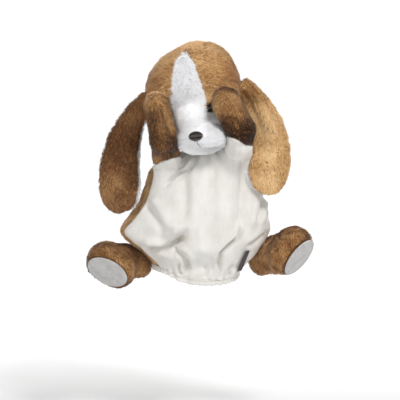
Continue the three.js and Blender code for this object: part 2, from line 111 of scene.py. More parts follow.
EAR_ROOT_HALF = 9
EAR_HALF = 21.5
EAR_THICK = 4
EARS = {
    "right": {
        "spine": (
            (-50, 0, 185), (-64, -3, 169), (-76, -8, 145), (-82, -14, 118), (-82, -20, 91), (-79.5, -24, 68),
        ),
        "facing": (-0.3, -1, 0),
    },
    "left": {
        "spine": (
            (46, -2, 200), (59, -9, 186), (72.4, -17, 161), (77.2, -22, 134), (75, -27, 110), (73.5, -29, 88),
        ),
        "facing": (0.1, -1, 0),
    },
}

ARMHOLE = 12.4
ARMS = {
    "right": (((-33, -16, 116), (-35, -56, 146.5), 13), ((-35, -56, 146.5), (-42, -55, 182.5), 14)),
    "left": (
        ((43, -15, 125), (44.8, -50, 144), 12),
        ((45, -50, 144), (45.5, -57, 157), 12.5),
        ((45.5, -57, 157), (29.5, -61, 187), 15.5),
    ),
}
SOLE_SIZE = (22.4, 16.4)
LEGS = {  # thigh is slack plush between the leg and the tunic's edge
    "right": {
        "lobes": (
            ((-67, 10, 10), (-77, -3, 12), 13),
            ((-77, -3, 12), (-85, -12, 8), 19),
            ((-95.3, -16.6, 12.9), (-84.3, -17.4, 7.1), 21.3),
        ),
        "thigh": ((-61, 2, 8), (-75, -4, 11), (13, 13, 15)),
        "sole": (-0.29, -0.85, -0.44),
        "along": (0.886, -0.065, -0.459),
    },
    "left": {
        "lobes": (
            ((70, 10, 12), (82.5, -4, 19), 13),
            ((82.5, -4, 19), (92, -13, 22), 19),
            ((94, -18.7, 20.6), (101.2, -17.3, 29.8), 20.8),
        ),
        "thigh": ((68, 4, 14), (86, -6, 22), (15, 15, 19)),
        "sole": (0.675, -0.58, -0.457),
        "along": (0.62, 0.109, 0.777),
    },
}
HEEL = 13.5

CAMERA_TILT = 8  # degrees that the photographer looks down
VIEW_WIDTH = 420  # mm across the picture at the puppet
VIEW_AT = (3, 0, 76)
VIEW_DISTANCE = 5  # m
SENSOR = 36
FLOOR_Z = -0.16  # m
FLOOR_REACH = 12.0


# ---- small helpers


def unit(v):
    """Vectors scaled to length 1."""
    return v / np.maximum(np.linalg.norm(v, axis=-1, keepdims=True), 1e-9)


def step(low, high, x):
    """0 below low, 1 above high, smooth between."""
    t = np.clip((x - low) / (high - low), 0, 1)
    return t * t * (3 - 2 * t)


NOISE_KEYS = np.array([73856093, 19349663, 83492791])
NOISE_TABLE = np.random.default_rng(7).uniform(-1, 1, 4096)


def bell(x, width):
    """1 at x = 0, falling off to both sides over a width."""
    return np.exp(-((x / width) ** 2))


def blob(places, middle, size):
    """1 at a middle of the picture plane, falling off round it over a size across and up."""
    return np.exp(-(((places - middle) / size) ** 2).sum(1))


def noise(points, cell, seed=0):
    """Smooth noise from -1 to 1, with cells of a given size in mm."""
    place = points / cell + seed * 17.31
    low = np.floor(place).astype(np.int64)
    share = place - low
    share = share * share * (3 - 2 * share)
    total = np.zeros(len(points))
    for corner in np.ndindex(2, 2, 2):
        offset = np.array(corner)
        key = (low + offset) @ NOISE_KEYS
        weight = np.where(offset == 1, share, 1 - share).prod(1)
        total += weight * NOISE_TABLE[(key ^ (key >> 11)) & 4095]
    return total


def noise_vectors(points, cell, seed):
    """Smooth noise in each direction of space."""
    return np.stack([noise(points, cell, seed + k) for k in range(3)], 1)


def spline(points, shares):
    """Catmull-Rom curve through points, at shares from 0 to 1."""
    points = np.asarray(points, float)
    last = len(points) - 1
    place = np.clip(shares, 0, 1) * last
    index = np.minimum(place.astype(int), last - 1)
    t = (place - index)[:, None]
    a, b, c, d = (points[np.clip(index + k, 0, last)] for k in (-1, 0, 1, 2))
    start, end = (c - a) / 2, (d - b) / 2
    return b + start * t + (3 * (c - b) - 2 * start - end) * t**2 + (start + end - 2 * (c - b)) * t**3


def bisect(inside, near, far):
    """The last places that are inside, on ways that lead from near, inside, to far, outside."""
    for _ in range(22):
        middle = (near + far) / 2
        kept = inside(middle)
        near = np.where(kept, middle, near)
        far = np.where(kept, far, middle)
    return near


def line_distance(points, path):
    """Distance from 2-D or 3-D points to a polyline, and the share along it of the nearest point."""
    path = np.asarray(path, float)
    best = np.full(len(points), 1e9)
    share = np.zeros(len(points))
    for i, (a, b) in enumerate(zip(path[:-1], path[1:])):
        along = b - a
        t = np.clip(((points - a) @ along) / (along @ along), 0, 1)
        away = np.linalg.norm(points - a - t[:, None] * along, axis=1)
        nearer = away < best
        share = np.where(nearer, (i + t) / (len(path) - 1), share)
        best = np.minimum(best, away)
    return best, share


def face_cross(points, faces):
    """A vector square to each face, twice as long as the face's area."""
    return np.cross(points[faces[:, 1]] - points[faces[:, 0]], points[faces[:, 2]] - points[faces[:, 0]])


def normals_of(points, faces):
    """The normal at each point, from the faces round it."""
    sums = np.zeros_like(points)
    cross = face_cross(points, faces)
    for k in range(3):
        np.add.at(sums, faces[:, k], cross)
    return unit(sums)


def grid_faces(rows, columns, closed):
    """Triangles of a grid of points, row by row; closed joins each row's ends."""
    r, c = np.meshgrid(np.arange(rows - 1), np.arange(columns if closed else columns - 1), indexing="ij")
    a = (r * columns + c).ravel()
    b = (r * columns + (c + 1) % columns).ravel()
    return np.concatenate([np.stack([a, b + columns, b], 1), np.stack([a, a + columns, b + columns], 1)])


def fan(ring, tip):
    """Triangles from each side of a ring of point numbers to one point's number."""
    return np.stack([ring, np.roll(ring, -1), np.full(len(ring), tip)], 1)


def facing_out(points, faces, middle=(0, 0, 0)):
    """The faces of a closed skin, turned so that they face outwards."""
    corner = points[faces] - np.array(middle)
    volume = (corner[:, 0] * np.cross(corner[:, 1], corner[:, 2])).sum()
    return faces if volume > 0 else faces[:, ::-1]


def clip(points, faces, values):
    """The part of a mesh where the value at its points is below 0, cut cleanly along 0."""
    inside = values < 0
    count = inside[faces].sum(1)
    kept = [faces[count == 3]]
    edges, cuts = [], []
    for alone in (1, 2):
        some = faces[count == alone]
        first = (inside[some] == (alone == 1)).argmax(1)
        row = np.arange(len(some))
        a, b, c = (some[row, (first + k) % 3] for k in range(3))
        edges += [np.stack([a, b], 1), np.stack([a, c], 1)]
        cuts.append((a, b, c))
    pairs = np.sort(np.concatenate(edges), 1)
    unique, back = np.unique(pairs, axis=0, return_inverse=True)
    back = back.ravel() + len(points)
    low, high = values[unique[:, 0]], values[unique[:, 1]]
    share = (low / (low - high))[:, None]
    crossing = points[unique[:, 0]] * (1 - share) + points[unique[:, 1]] * share
    sizes = np.cumsum([0] + [len(e) for e in edges])
    ab1, ac1, ab2, ac2 = (back[sizes[k] : sizes[k + 1]] for k in range(4))
    kept.append(np.stack([cuts[0][0], ab1, ac1], 1))
    _, b, c = cuts[1]
    kept += [np.stack([ab2, b, c], 1), np.stack([ab2, c, ac2], 1)]
    return tidy(np.concatenate([points, crossing]), np.concatenate(kept))


def tidy(points, faces):
    """Drops unused points and faces without area."""
    faces = faces[np.linalg.norm(face_cross(points[:, :3], faces), axis=1) > 1e-9]
    used, faces = np.unique(faces, return_inverse=True)
    return points[used], faces.reshape(-1, 3)


def add_mesh(name, points, faces, materials, normals=None, slots=None):
    """A smooth mesh object in metres from points in mm and triangles."""
    mesh = bpy.data.meshes.new(name)
    mesh.vertices.add(len(points))
    mesh.vertices.foreach_set("co", (points * MM).astype(np.float32).ravel())
    mesh.loops.add(faces.size)
    mesh.loops.foreach_set("vertex_index", faces.astype(np.int32).ravel())
    mesh.polygons.add(len(faces))
    mesh.polygons.foreach_set("loop_start", np.arange(0, faces.size, 3, dtype=np.int32))
    mesh.polygons.foreach_set("use_smooth", np.ones(len(faces), bool))
    for material in materials:
        mesh.materials.append(material)
    if slots is not None:
        mesh.polygons.foreach_set("material_index", slots.astype(np.int32))
    mesh.update(calc_edges=True)
    if normals is not None:
        mesh.normals_split_custom_set_from_vertices(normals.astype(np.float32))
    obj = bpy.data.objects.new(name, mesh)
    bpy.context.scene.collection.objects.link(obj)
    return obj


def apply_modifiers(obj):
    """Applies an object's modifiers, so that its mesh is what they make of it."""
    bpy.context.view_layer.objects.active = obj
    obj.select_set(True)
    for modifier in list(obj.modifiers):
        bpy.ops.object.modifier_apply(modifier=modifier.name)
    obj.select_set(False)


def thicken(obj, thick):
    """Gives an open sheet its cloth thickness, inwards."""
    solidify = obj.modifiers.new("thickness", "SOLIDIFY")
    solidify.thickness = thick * MM
    solidify.offset = -1
    apply_modifiers(obj)
    return obj


def hang(obj, body, node=None):
    """Puts a piece on its body, and hides the CAD piece that it stands for."""
    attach(obj, body)
    if node:
        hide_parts(node)
    return obj


def stretch(obj, limb, slot, root, along):
    """Bakes a piece's placing into its mesh."""
    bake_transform(obj)


# ---- materials


def new_material(name, roughness, sheen, sheen_roughness=0.5, sheen_tint=(1, 1, 1, 1)):
    material = bpy.data.materials.new(name)
    material.use_nodes = True
    shader = material.node_tree.nodes["Principled BSDF"]
    shader.inputs["Roughness"].default_value = roughness
    shader.inputs["Specular IOR Level"].default_value = 0.2
    shader.inputs["Sheen Weight"].default_value = sheen
    shader.inputs["Sheen Roughness"].default_value = sheen_roughness
    shader.inputs["Sheen Tint"].default_value = sheen_tint
    return material, shader


def linear(colour):
    """A colour given as sRGB bytes, as linear RGBA."""
    parts = [c / 255 for c in colour]
    return [c / 12.92 if c <= 0.04045 else ((c + 0.055) / 1.055) ** 2.4 for c in parts] + [1]


def texture_place(tree, stretch):
    place = tree.nodes.new("ShaderNodeTexCoord")
    mapping = tree.nodes.new("ShaderNodeMapping")
    mapping.inputs["Scale"].default_value = stretch
    tree.links.new(place.outputs["Object"], mapping.inputs["Vector"])
    return mapping.outputs["Vector"]


def noise_node(tree, place, cell, detail=3, roughness=0.55):
    """A noise texture whose features are about cell mm across."""
    node = tree.nodes.new("ShaderNodeTexNoise")
    node.inputs["Scale"].default_value = 1 / (cell * MM)
    node.inputs["Detail"].default_value = detail
    node.inputs["Roughness"].default_value = roughness
    tree.links.new(place, node.inputs["Vector"])
    return node.outputs["Fac"]


def ramp_node(tree, value, stops):
    node = tree.nodes.new("ShaderNodeValToRGB")
    while len(node.color_ramp.elements) < len(stops):
        node.color_ramp.elements.new(0.5)
    for element, (place, colour) in zip(node.color_ramp.elements, stops):
        element.position = place
        element.color = linear(colour)
    tree.links.new(value, node.inputs["Fac"])
    return node.outputs["Color"]


def mix_node(tree, a, b, share, blend="MIX"):
    node = tree.nodes.new("ShaderNodeMix")
    node.data_type = "RGBA"
    node.blend_type = blend
    if isinstance(share, float):
        node.inputs["Factor"].default_value = share
    else:
        tree.links.new(share, node.inputs["Factor"])
    tree.links.new(a, node.inputs["A"])
    tree.links.new(b, node.inputs["B"])
    return node.outputs["Result"]


def bump_node(tree, height, shader, strength, distance):
    node = tree.nodes.new("ShaderNodeBump")
    node.inputs["Strength"].default_value = strength
    node.inputs["Distance"].default_value = distance * MM
    tree.links.new(height, node.inputs["Height"])
    tree.links.new(node.outputs["Normal"], shader.inputs["Normal"])


def cloth_material(name, dark, light, patch, grain, stretch=(1, 1, 1), sheen=0.3, roughness=0.9, bump=0.5):
    """Cloth whose colour runs from dark to light in soft patches, with a fine grain that also lifts it."""
    material, shader = new_material(name, roughness, sheen)
    tree = material.node_tree
    place = texture_place(tree, stretch)
    fine = noise_node(tree, place, grain, 4, 0.65)
    patches = ramp_node(tree, noise_node(tree, place, patch, 3), [(0.32, dark), (0.68, light)])
    grains = ramp_node(tree, fine, [(0.35, dark), (0.65, light)])
    colour = mix_node(tree, patches, grains, 0.45)
    tree.links.new(colour, shader.inputs["Base Color"])
    bump_node(tree, fine, shader, bump, grain * 0.6)
    return material


def pile_materials(name, shades, sheen=0.25):
    """One plain material for each shade of a pile's fibres."""
    made = []
    for number, shade in enumerate(shades):
        material, shader = new_material(f"{name}_{number}", 0.85, sheen)
        shader.inputs["Base Color"].default_value = linear(shade)
        made.append(material)
    return made


BROWN_BASE = cloth_material("plush_brown_backing", (138, 96, 58), (182, 136, 90), 9, 0.9, bump=0.8)
# The legs' backing is a darker copy of the brown plush's backing, as painted shade.
LEG_SHADED_BASE = cloth_material("plush_leg_painted_shade_backing", (92, 58, 30), (142, 98, 60), 6, 0.9, bump=0.8)
WHITE_BASE = cloth_material("plush_white_backing", (232, 232, 234), (248, 248, 249), 9, 0.9, bump=0.8)
TUNIC_CLOTH = cloth_material(
    "velour_cream", (207, 204, 197), (231, 229, 224), 14, 0.45, (1, 1, 0.45), sheen=0.35, bump=0.25
)
# The soles' velour is the pale velour darkened to grey, as painted shade on soles that face down.
SOLE_SHADED_CLOTH = cloth_material("velour_sole", (164, 162, 159), (198, 197, 196), 7, 0.4, sheen=0.4, bump=0.25)
LINING_CLOTH = cloth_material(
    "lining_cotton", (196, 186, 168), (222, 214, 198), 10, 0.35, (1, 1, 3), sheen=0.1
)
THREAD = cloth_material("embroidery_thread", (20, 14, 11), (52, 40, 33), 3, 0.3, sheen=0.2, roughness=0.45)
MOUTH_THREAD = cloth_material("mouth_thread", (84, 72, 64), (120, 108, 100), 3, 0.3, sheen=0.2, roughness=0.6)
CREAM_THREAD = cloth_material(
    "sewing_thread", (196, 192, 182), (222, 218, 208), 3, 0.3, sheen=0.2, roughness=0.6
)
STUFFING = cloth_material("fibre_stuffing", (222, 220, 214), (240, 239, 236), 5, 0.7, sheen=0.2, bump=1)
ELASTIC = cloth_material("knitted_elastic", (200, 200, 196), (226, 226, 223), 4, 0.4, (1, 1, 6), bump=0.6)
LABEL_CLOTH = cloth_material(
    "woven_label", (40, 22, 34), (62, 38, 52), 2.5, 0.25, (3, 3, 1), sheen=0.2, roughness=0.7
)

BROWN_PILE = pile_materials(
    "plush_brown_pile", ((164, 116, 70), (196, 150, 98), (218, 176, 122), (234, 196, 142))
)
# The ears are one plush: the right ear's pile is a darker copy, as painted shade, and the left ear's a
# lighter copy, as painted light.
EAR_LIT_AND_SHADED_PILE = {
    "right": pile_materials(
        "plush_ear_painted_shade_pile", ((84, 52, 28), (112, 74, 42), (146, 104, 66), (182, 138, 94))
    ),
    "left": pile_materials(
        "plush_ear_painted_light_pile", ((166, 118, 70), (208, 164, 110), (232, 192, 138), (246, 212, 160))
    ),
}
# The arms' pile is a darker copy of the brown plush's pile, as painted shade, with extra dark and light
# shades for the arms' painted shade and painted light.
ARM_LIT_AND_SHADED_PILE = pile_materials(
    "plush_arm_lit_and_shaded_pile",
    ((56, 34, 18), (92, 58, 32), (138, 94, 54), (172, 126, 78), (204, 158, 106), (226, 184, 130)),
)
# The legs' pile is a darker copy of the brown plush's pile, as painted shade.
LEG_SHADED_PILE = pile_materials("plush_leg_painted_shade_pile", ((112, 72, 40), (156, 110, 66), (194, 146, 96), (220, 176, 124)))
WHITE_PILE = pile_materials("plush_white_pile", ((243, 243, 245), (249, 249, 250), (254, 254, 254)), 0.15)


def front_view(points):
    """Places across and up the picture plane, in mm, of a camera that looks down by its tilt."""
    tilt = math.radians(CAMERA_TILT)
    return np.stack([points[:, 0], points[:, 2] * math.cos(tilt) + points[:, 1] * math.sin(tilt)], 1)


# ---- stuffed shapes


LONGEST_REACH = 150.0  # mm from a stuffed shape's middle to its skin, at most


class Shape:
    """A stuffed body: a blend of lobes round lines, all seen from one middle point."""

    def __init__(self, lobes, middle, axis, flat=None):
        self.lobes = [(*np.array([a, b], float), np.array(r, float) * np.ones(3)) for a, b, r in lobes]
        self.middle = np.array(middle, float)
        self.axis = unit(np.array(axis, float))
        self.flat = flat
        side = np.array([0.0, 1.0, 0.0]) if abs(self.axis[1]) < 0.9 else np.array([1.0, 0.0, 0.0])
        self.across = unit(np.cross(side, self.axis))
        self.up = np.cross(self.axis, self.across)

    def field(self, points):
        """The blend's value, 1 on its skin, and the outward direction."""
        total = np.zeros(len(points))
        pull = np.zeros_like(points)
        for a, b, r in self.lobes:
            line = b - a
            t = np.clip(((points - a) @ line) / max(line @ line, 1e-9), 0, 1)
            away = points - a - t[:, None] * line
            weight = np.exp(-BLEND * (((away / r) ** 2).sum(1) - 1))
            total += weight
            pull += weight[:, None] * away / r**2
        return total, unit(pull)

    def reach(self, directions):
        """How far the skin lies from the middle in each direction, drawn in to the flat if there is one."""
        inside = lambda reach: self.field(self.middle + directions * reach[:, None])[0] > 1
        near = bisect(inside, np.zeros(len(directions)), np.full(len(directions), LONGEST_REACH))
        if self.flat is not None:
            normal, distance = self.flat
            slope = directions @ normal
            limit = np.where(slope > 0.01, distance / np.maximum(slope, 0.01), 1e4)
            near = (near**-14 + limit**-14) ** (-1 / 14)
        return near

    def skin(self, opening, rings, sides):
        """Points and faces of the skin, open round the axis by an angle in degrees."""
        polar = np.radians(opening) + (np.pi - np.radians(opening)) * np.linspace(0, 1, rings + 1)
        polar[-1] = np.pi - 0.004
        around = 2 * np.pi * np.arange(sides) / sides
        polar, around = (x.ravel()[:, None] for x in np.meshgrid(polar, around, indexing="ij"))
        sideways = np.sin(polar) * np.cos(around) * self.across + np.sin(polar) * np.sin(around) * self.up
        directions = sideways + np.cos(polar) * self.axis
        points = self.middle + directions * self.reach(directions)[:, None]
        faces = grid_faces(rings + 1, sides, True)
        last = rings * sides
        tip = self.middle - self.axis * self.reach(-self.axis[None])[0]
        points = np.concatenate([points, tip[None]])
        cap = fan(last + np.arange(sides), len(points) - 1)[:, [0, 2, 1]]
        faces = np.concatenate([faces, cap])
        return points, facing_out(points, faces, self.middle)


# ---- pile


def scatter(points, faces, per_mm2, rng):
    """Random places on a mesh: the face of each, and its three weights."""
    area = np.linalg.norm(face_cross(points, faces), axis=1) / 2
    count = int(area.sum() * per_mm2)
    face = rng.choice(len(faces), count, p=area / area.sum())
    u, v = rng.random(count), rng.random(count)
    over = u + v > 1
    u[over], v[over] = 1 - u[over], 1 - v[over]
    return face, np.stack([1 - u - v, u, v], 1)


class Pile:
    """How a plush's fibres stand: their number, size in mm, lean and shades."""

    def __init__(self, materials, density=1.7, length=4.6, width=0.75, rise=(54, 18), clump=8, seed=1):
        self.materials = materials
        self.density = density
        self.length = length
        self.width = width
        self.rise = np.radians(rise)
        self.clump = clump
        self.seed = seed


def add_pile(name, points, faces, normals, nap, pile, keep=None, grow=None, tone=None):
    """Fibres on a mesh. nap gives their direction at points, keep says which stay, grow how long they are."""
    rng = np.random.default_rng(pile.seed)
    face, weights = scatter(points, faces, pile.density, rng)
    root = (points[faces[face]] * weights[:, :, None]).sum(1)
    normal = unit((normals[faces[face]] * weights[:, :, None]).sum(1))
    if keep is not None:
        chosen = keep(root)
        root, normal = root[chosen], normal[chosen]
    count = len(root)
    way = unit(nap(root)) + 0.42 * noise_vectors(root, pile.clump, pile.seed)
    way = way + 0.26 * rng.normal(size=(count, 3))
    way = unit(way - (way * normal).sum(1)[:, None] * normal)
    side = np.cross(normal, way)
    uneven = 0.22 * noise(root, pile.clump * 0.7, pile.seed + 5) + 0.16 * rng.normal(size=count)
    length = pile.length * (1 + uneven)
    if grow is not None:
        length = length * grow(root)
    length = np.clip(length, 0.5, None)[:, None]
    spread = 0.16 * rng.normal(size=(2, count)) + 0.25 * noise(root, pile.clump, pile.seed + 9)
    low, high = (np.clip(pile.rise[k] + spread[k], 0.1, 1.4)[:, None] for k in range(2))
    knee = root + length * 0.45 * (np.sin(low) * normal + np.cos(low) * way)
    tip = knee + length * 0.55 * (np.sin(high) * normal + np.cos(high) * way)
    half = (pile.width * rng.uniform(0.35, 0.65, count))[:, None] * side
    under = root - 0.5 * normal
    corners = [under - half, under + half, knee - 0.8 * half, knee + 0.8 * half, tip]
    blades = np.stack(corners, 1).reshape(-1, 3)
    first = 5 * np.arange(count)[:, None]
    triangles = (first[:, :, None] + np.array([[0, 3, 1], [0, 2, 3], [2, 4, 3]])).reshape(-1, 3)
    facing = unit(np.cross(side, np.cos(high) * way + np.sin(high) * normal) * -1)
    facing = np.where(((facing * normal).sum(1) < 0)[:, None], -facing, facing)
    shade = unit(0.8 * normal + 0.2 * facing + 0.08 * rng.normal(size=(count, 3)))
    mood = 0.5 + 0.22 * noise(root, pile.clump * 1.6, pile.seed + 13) + 0.13 * rng.normal(size=count)
    # tone shifts each fibre to a darker or lighter shade: painted shade and painted light.
    if tone is not None:
        mood = mood + tone(root)
    kind = np.clip((mood * len(pile.materials)).astype(int), 0, len(pile.materials) - 1)
    return add_mesh(name, blades, triangles, pile.materials, np.repeat(shade, 5, 0), np.repeat(kind, 3))


# ---- threads


def add_tubes(name, paths, radius, material, sides=6):
    """Round threads along paths of points in mm, as one mesh, closed at their ends."""
    all_points, all_faces, count = [], [], 0
    for path in paths:
        path = np.asarray(path, float)
        along = unit(np.gradient(path, axis=0))
        side = unit(np.cross(along, [0.1, 0.3, 1]))
        up = np.cross(along, side)
        angle = 2 * np.pi * np.arange(sides) / sides
        ring = np.cos(angle)[:, None, None] * side + np.sin(angle)[:, None, None] * up
        taper = np.ones(len(path))
        taper[[0, -1]] = 0.45
        points = (path + radius * taper[:, None] * ring).transpose(1, 0, 2).reshape(-1, 3)
        faces = grid_faces(len(path), sides, True)
        ends = [[count + k, count + (k + 1) % sides, count] for k in range(1, sides - 1)]
        last = count + (len(path) - 1) * sides
        ends += [[last + (k + 1) % sides, last + k, last] for k in range(1, sides - 1)]
        all_points.append(points)
        all_faces += [faces + count, np.array(ends)]
        count += len(points)
    points, faces = np.concatenate(all_points), np.concatenate(all_faces)
    return add_mesh(name, points, faces, [material])


# ---- head


def head_turn():
    roll, yaw = math.radians(HEAD_ROLL), math.radians(HEAD_YAW)
    about_y = np.array([[math.cos(roll), 0, math.sin(roll)], [0, 1, 0], [-math.sin(roll), 0, math.cos(roll)]])
    about_z = np.array([[math.cos(yaw), -math.sin(yaw), 0], [math.sin(yaw), math.cos(yaw), 0], [0, 0, 1]])
    return about_y @ about_z


HEAD_TURN = head_turn()
HEAD = Shape(
    [
        ((-0.8, 5, 6), (-0.8, 5, 6), (50, 47, 48)),
        ((11.2, 2, 24), (11.2, 2, 24), (34, 36, 33)),
        ((0, -4, -18), (0, -4, -18), (43, 40, 31)),
        ((1, -34, -16), (1, -34, -16), (20, 27, 20)),
        ((9, -44, -37), (9, -44, -37), (26.5, 27, 16.5)),
    ],
    (0, -6, -4),
    (0, 0, -1),
)
DARTS = {
    "right": ((-24, 38), (-22, 26), (-21, 14), (-19, 0)),
    "left": ((31, 46), (27, 28), (22, 14), (18, 2)),
}


def head_to_world(points):
    """Points of the head's own frame, in the puppet's frame."""
    return points @ HEAD_TURN.T + np.array(HEAD_CENTRE)


def blaze_edge(points):
    """How far points lie outside the white blaze, in mm, seen from the front."""
    share = np.clip((points[:, 2] - BLAZE_FOOT) / (BLAZE_TIP - BLAZE_FOOT), 0, 1)
    waist = 1 - 0.12 * np.cos(np.pi * np.minimum(1, share * 2.2)) ** 2 * (1 - share)
    half = BLAZE_WIDEST * waist * np.maximum(0, 1 - share**2.4) ** 0.65
    above = np.maximum(points[:, 2] - BLAZE_TIP, 0)
    below = np.maximum(BLAZE_FOOT - points[:, 2], 0)
    side = np.abs(points[:, 0]) - half
    edge = np.maximum(side * np.where(share > 0.8, 0.75, 1), -30) + above
    edge = np.where(points[:, 1] > 0, 50, edge)
    return np.where(below > 0, np.maximum(edge, below), edge)


def muzzle_edge(points):
    """How far points lie outside the white muzzle and chin, in mm, seen from the front."""
    middle, rise = MUZZLE_TOP
    climb = np.clip((points[:, 2] - middle) / rise, 0, 1)
    half = MUZZLE_HALF * np.cos(np.arcsin(climb)) ** 0.7
    above = points[:, 2] - middle - rise
    edge = np.maximum(np.abs(points[:, 0] - MUZZLE_X) - half, above)
    return np.maximum(edge, points[:, 1] + 6)


def head_surface(points):
    """The sewn skin: seams and darts sink in, and the stuffing shows a little through the plush."""
    normal = HEAD.field(points)[1]
    white = np.minimum(blaze_edge(points), muzzle_edge(points))
    depth = -1.9 + 0.9 * step(1.5, -3, white)
    depth -= 1.1 * bell(white, 1.6)
    front = step(6, -2, points[:, 1])
    for dart in DARTS.values():
        away, share = line_distance(points[:, [0, 2]], dart)
        depth -= 2.1 * front * bell(away, 2.2) * step(0, 0.25, share) * step(1.02, 0.7, share)
    crown = step(4, 8, white) * front * step(46, 56, points[:, 2])
    depth -= 1.2 * crown * bell(points[:, 0], 2)
    depth -= 1.3 * bell(points[:, 1] - HEAD_SEAM_Y, 2.2)
    fold = bell(points[:, 2] - BLAZE_FOOT + 0.06 * points[:, 0] ** 2 * 0.1, 3)
    depth -= 0.15 * fold * step(18, 8, np.abs(points[:, 0])) * front
    mouth, share = line_distance(points, MOUTH_PATH)
    depth -= 1.5 * bell(mouth, 3.5)
    depth += 0.8 * noise(points, 17, 3) + 0.25 * noise(points, 6, 4)
    return points + normal * depth[:, None]


def head_panel(points, faces, *edges):
    """The part of the head's skin that lies inside all the given edges."""
    for edge in edges:
        points, faces = clip(points, faces, edge(points))
    return points, faces


HEAD_PIECES = {  # name of the plush that stands for each CAD panel
    "head_back": "head_back_plush",
    "blaze_panel": "blaze_plush",
    "muzzle_panel": "muzzle_plush",
    "chin_panel": "chin_plush",
    "head_side_right": "head_side_right_plush",
    "head_side_left": "head_side_left_plush",
}
# Painted shade and painted light on the head's pile: darker on the cheeks and brow beside the paws and by the
# left ear's root, lighter on the crown. Middle and size in the picture plane, and change of its shade.
HEAD_PAINTED_LIGHT_AND_SHADE = (
    ((-46, 196), (11, 16), -0.34),
    ((34, 204), (14, 13), -0.3),
    ((2, 236), (26, 8), 0.12),
    ((30, 214), (16, 16), -0.14),
    ((50, 196), (8, 20), -0.2),
)


def spot_painted_light_and_shade(points, spots):
    """How much darker or lighter pile lies at points as painted shade and painted light, for spots of the
    picture plane.
    """
    seen = front_view(points)
    tone = np.zeros(len(points))
    for middle, size, change in spots:
        tone += change * blob(seen, middle, size)
    return tone


def add_head_panel(node, mesh, cloth, pile_options, keep=None, grow=None):
    """One sewn panel of the head with its pile; keep and grow work in the head's own frame."""
    points, faces = mesh
    name = HEAD_PIECES[node]
    normal = HEAD.field(points)[1] @ HEAD_TURN.T
    sewn = head_to_world(head_surface(points))
    obj = thicken(add_mesh(name, sewn, faces, [cloth]), PLUSH_BACKING)
    hang(obj, "head", node)
    local = lambda p: (p - np.array(HEAD_CENTRE)) @ HEAD_TURN

    def nap(p):
        q = local(p)
        outward = HEAD.field(q)[1]
        down = np.tile([0, 0.35, -1.0], (len(q), 1))
        down[:, 0] = 0.35 * np.sign(q[:, 0]) * step(0, 12, np.abs(q[:, 0]))
        from_nose = q - np.array(NOSE_AT)
        away_from_nose = unit(from_nose) * step(42, 22, np.linalg.norm(from_nose, axis=1))[:, None]
        out = q * [0.06, 0, 0] * step(-8, -1, blaze_edge(q))[:, None]
        return (down + 1.8 * away_from_nose + out - 0.2 * outward) @ HEAD_TURN.T

    kept = (lambda p: keep(local(p))) if keep else None
    grown = (lambda p: grow(local(p))) if grow else None
    # The head's pile takes its painted shade and painted light from these spots.
    tone = lambda p: spot_painted_light_and_shade(p, HEAD_PAINTED_LIGHT_AND_SHADE)
    hang(add_pile(name + "_pile", sewn, faces, normal, nap, pile_options, kept, grown, tone), "head")


def eye_distance(q):
    """How far points of the head's front lie from the nearer eye's middle, in mm, seen from the front."""
    away = [np.linalg.norm((q - np.array(at))[:, [0, 2]], axis=1) for at in EYES.values()]
    return np.where(q[:, 1] < -20, np.minimum(*away), 99)


def away_from_eyes(q):
    """Where the pile round the eyes stays clear of their thread."""
    return eye_distance(q) > EYE_RADIUS + 0.4


def shorter_near_eyes(q):
    return 0.35 + 0.65 * step(EYE_RADIUS, EYE_RADIUS + 7, eye_distance(q))


def away_from_face(q):
    """Where the muzzle's pile stays clear of the nose and the mouth's thread."""
    nose = (((q - np.array(NOSE_AT))[:, [0, 2]] / np.array([NOSE_SIZE[0], NOSE_SIZE[2]])) ** 2).sum(1)
    mouth, _ = line_distance(q, MOUTH_PATH)
    return ((nose > 1.0) | (q[:, 1] > -50)) & (mouth > 2.6)


def shorter_near_face(q):
    nose = np.linalg.norm((q - np.array(NOSE_AT))[:, [0, 2]] / np.array([1.5, 1]), axis=1)
    mouth, _ = line_distance(q, MOUTH_PATH)
    return 0.5 + 0.5 * step(3, 12, np.minimum(nose, mouth * 1.6))


def make_head():
    points, faces = HEAD.skin(20, 150, 230)
    front = lambda p: p[:, 1] - HEAD_SEAM_Y
    chin = lambda p: p[:, 2] - MOUTH_Z
    outside = lambda edge: (lambda p: -edge(p))
    white = Pile(WHITE_PILE, density=1.9, length=4.8, width=0.7, seed=12)
    near_eyes = (away_from_eyes, shorter_near_eyes)
    near_face = (away_from_face, shorter_near_face)

    back = head_panel(points, faces, outside(front))
    blaze = head_panel(points, faces, front, blaze_edge)
    rest = head_panel(points, faces, front, outside(blaze_edge))
    muzzle = head_panel(*rest, muzzle_edge, outside(chin))
    add_head_panel("head_back", back, BROWN_BASE, Pile(BROWN_PILE, seed=11))
    add_head_panel("blaze_panel", blaze, WHITE_BASE, white, *near_eyes)
    add_head_panel("muzzle_panel", muzzle, WHITE_BASE, white, *near_face)
    add_head_panel("chin_panel", head_panel(*rest, muzzle_edge, chin), WHITE_BASE, white, *near_face)
    sides = head_panel(*rest, outside(muzzle_edge))
    for side, sign, seed in (("right", 1, 13), ("left", -1, 14)):
        panel = head_panel(*sides, lambda p, sign=sign: sign * p[:, 0])
        add_head_panel(f"head_side_{side}", panel, BROWN_BASE, Pile(BROWN_PILE, seed=seed), *near_eyes)


def from_front(x, z):
    """The point of the head's skin at a place seen from the front, in the head's own frame."""
    x, z = np.atleast_1d(x).astype(float), np.atleast_1d(z).astype(float)
    inside = lambda y: HEAD.field(np.stack([x, y, z], 1))[0] > 1
    y = bisect(inside, np.full(len(x), -20.0), np.full(len(x), -95.0))
    return np.stack([x, y, z], 1)


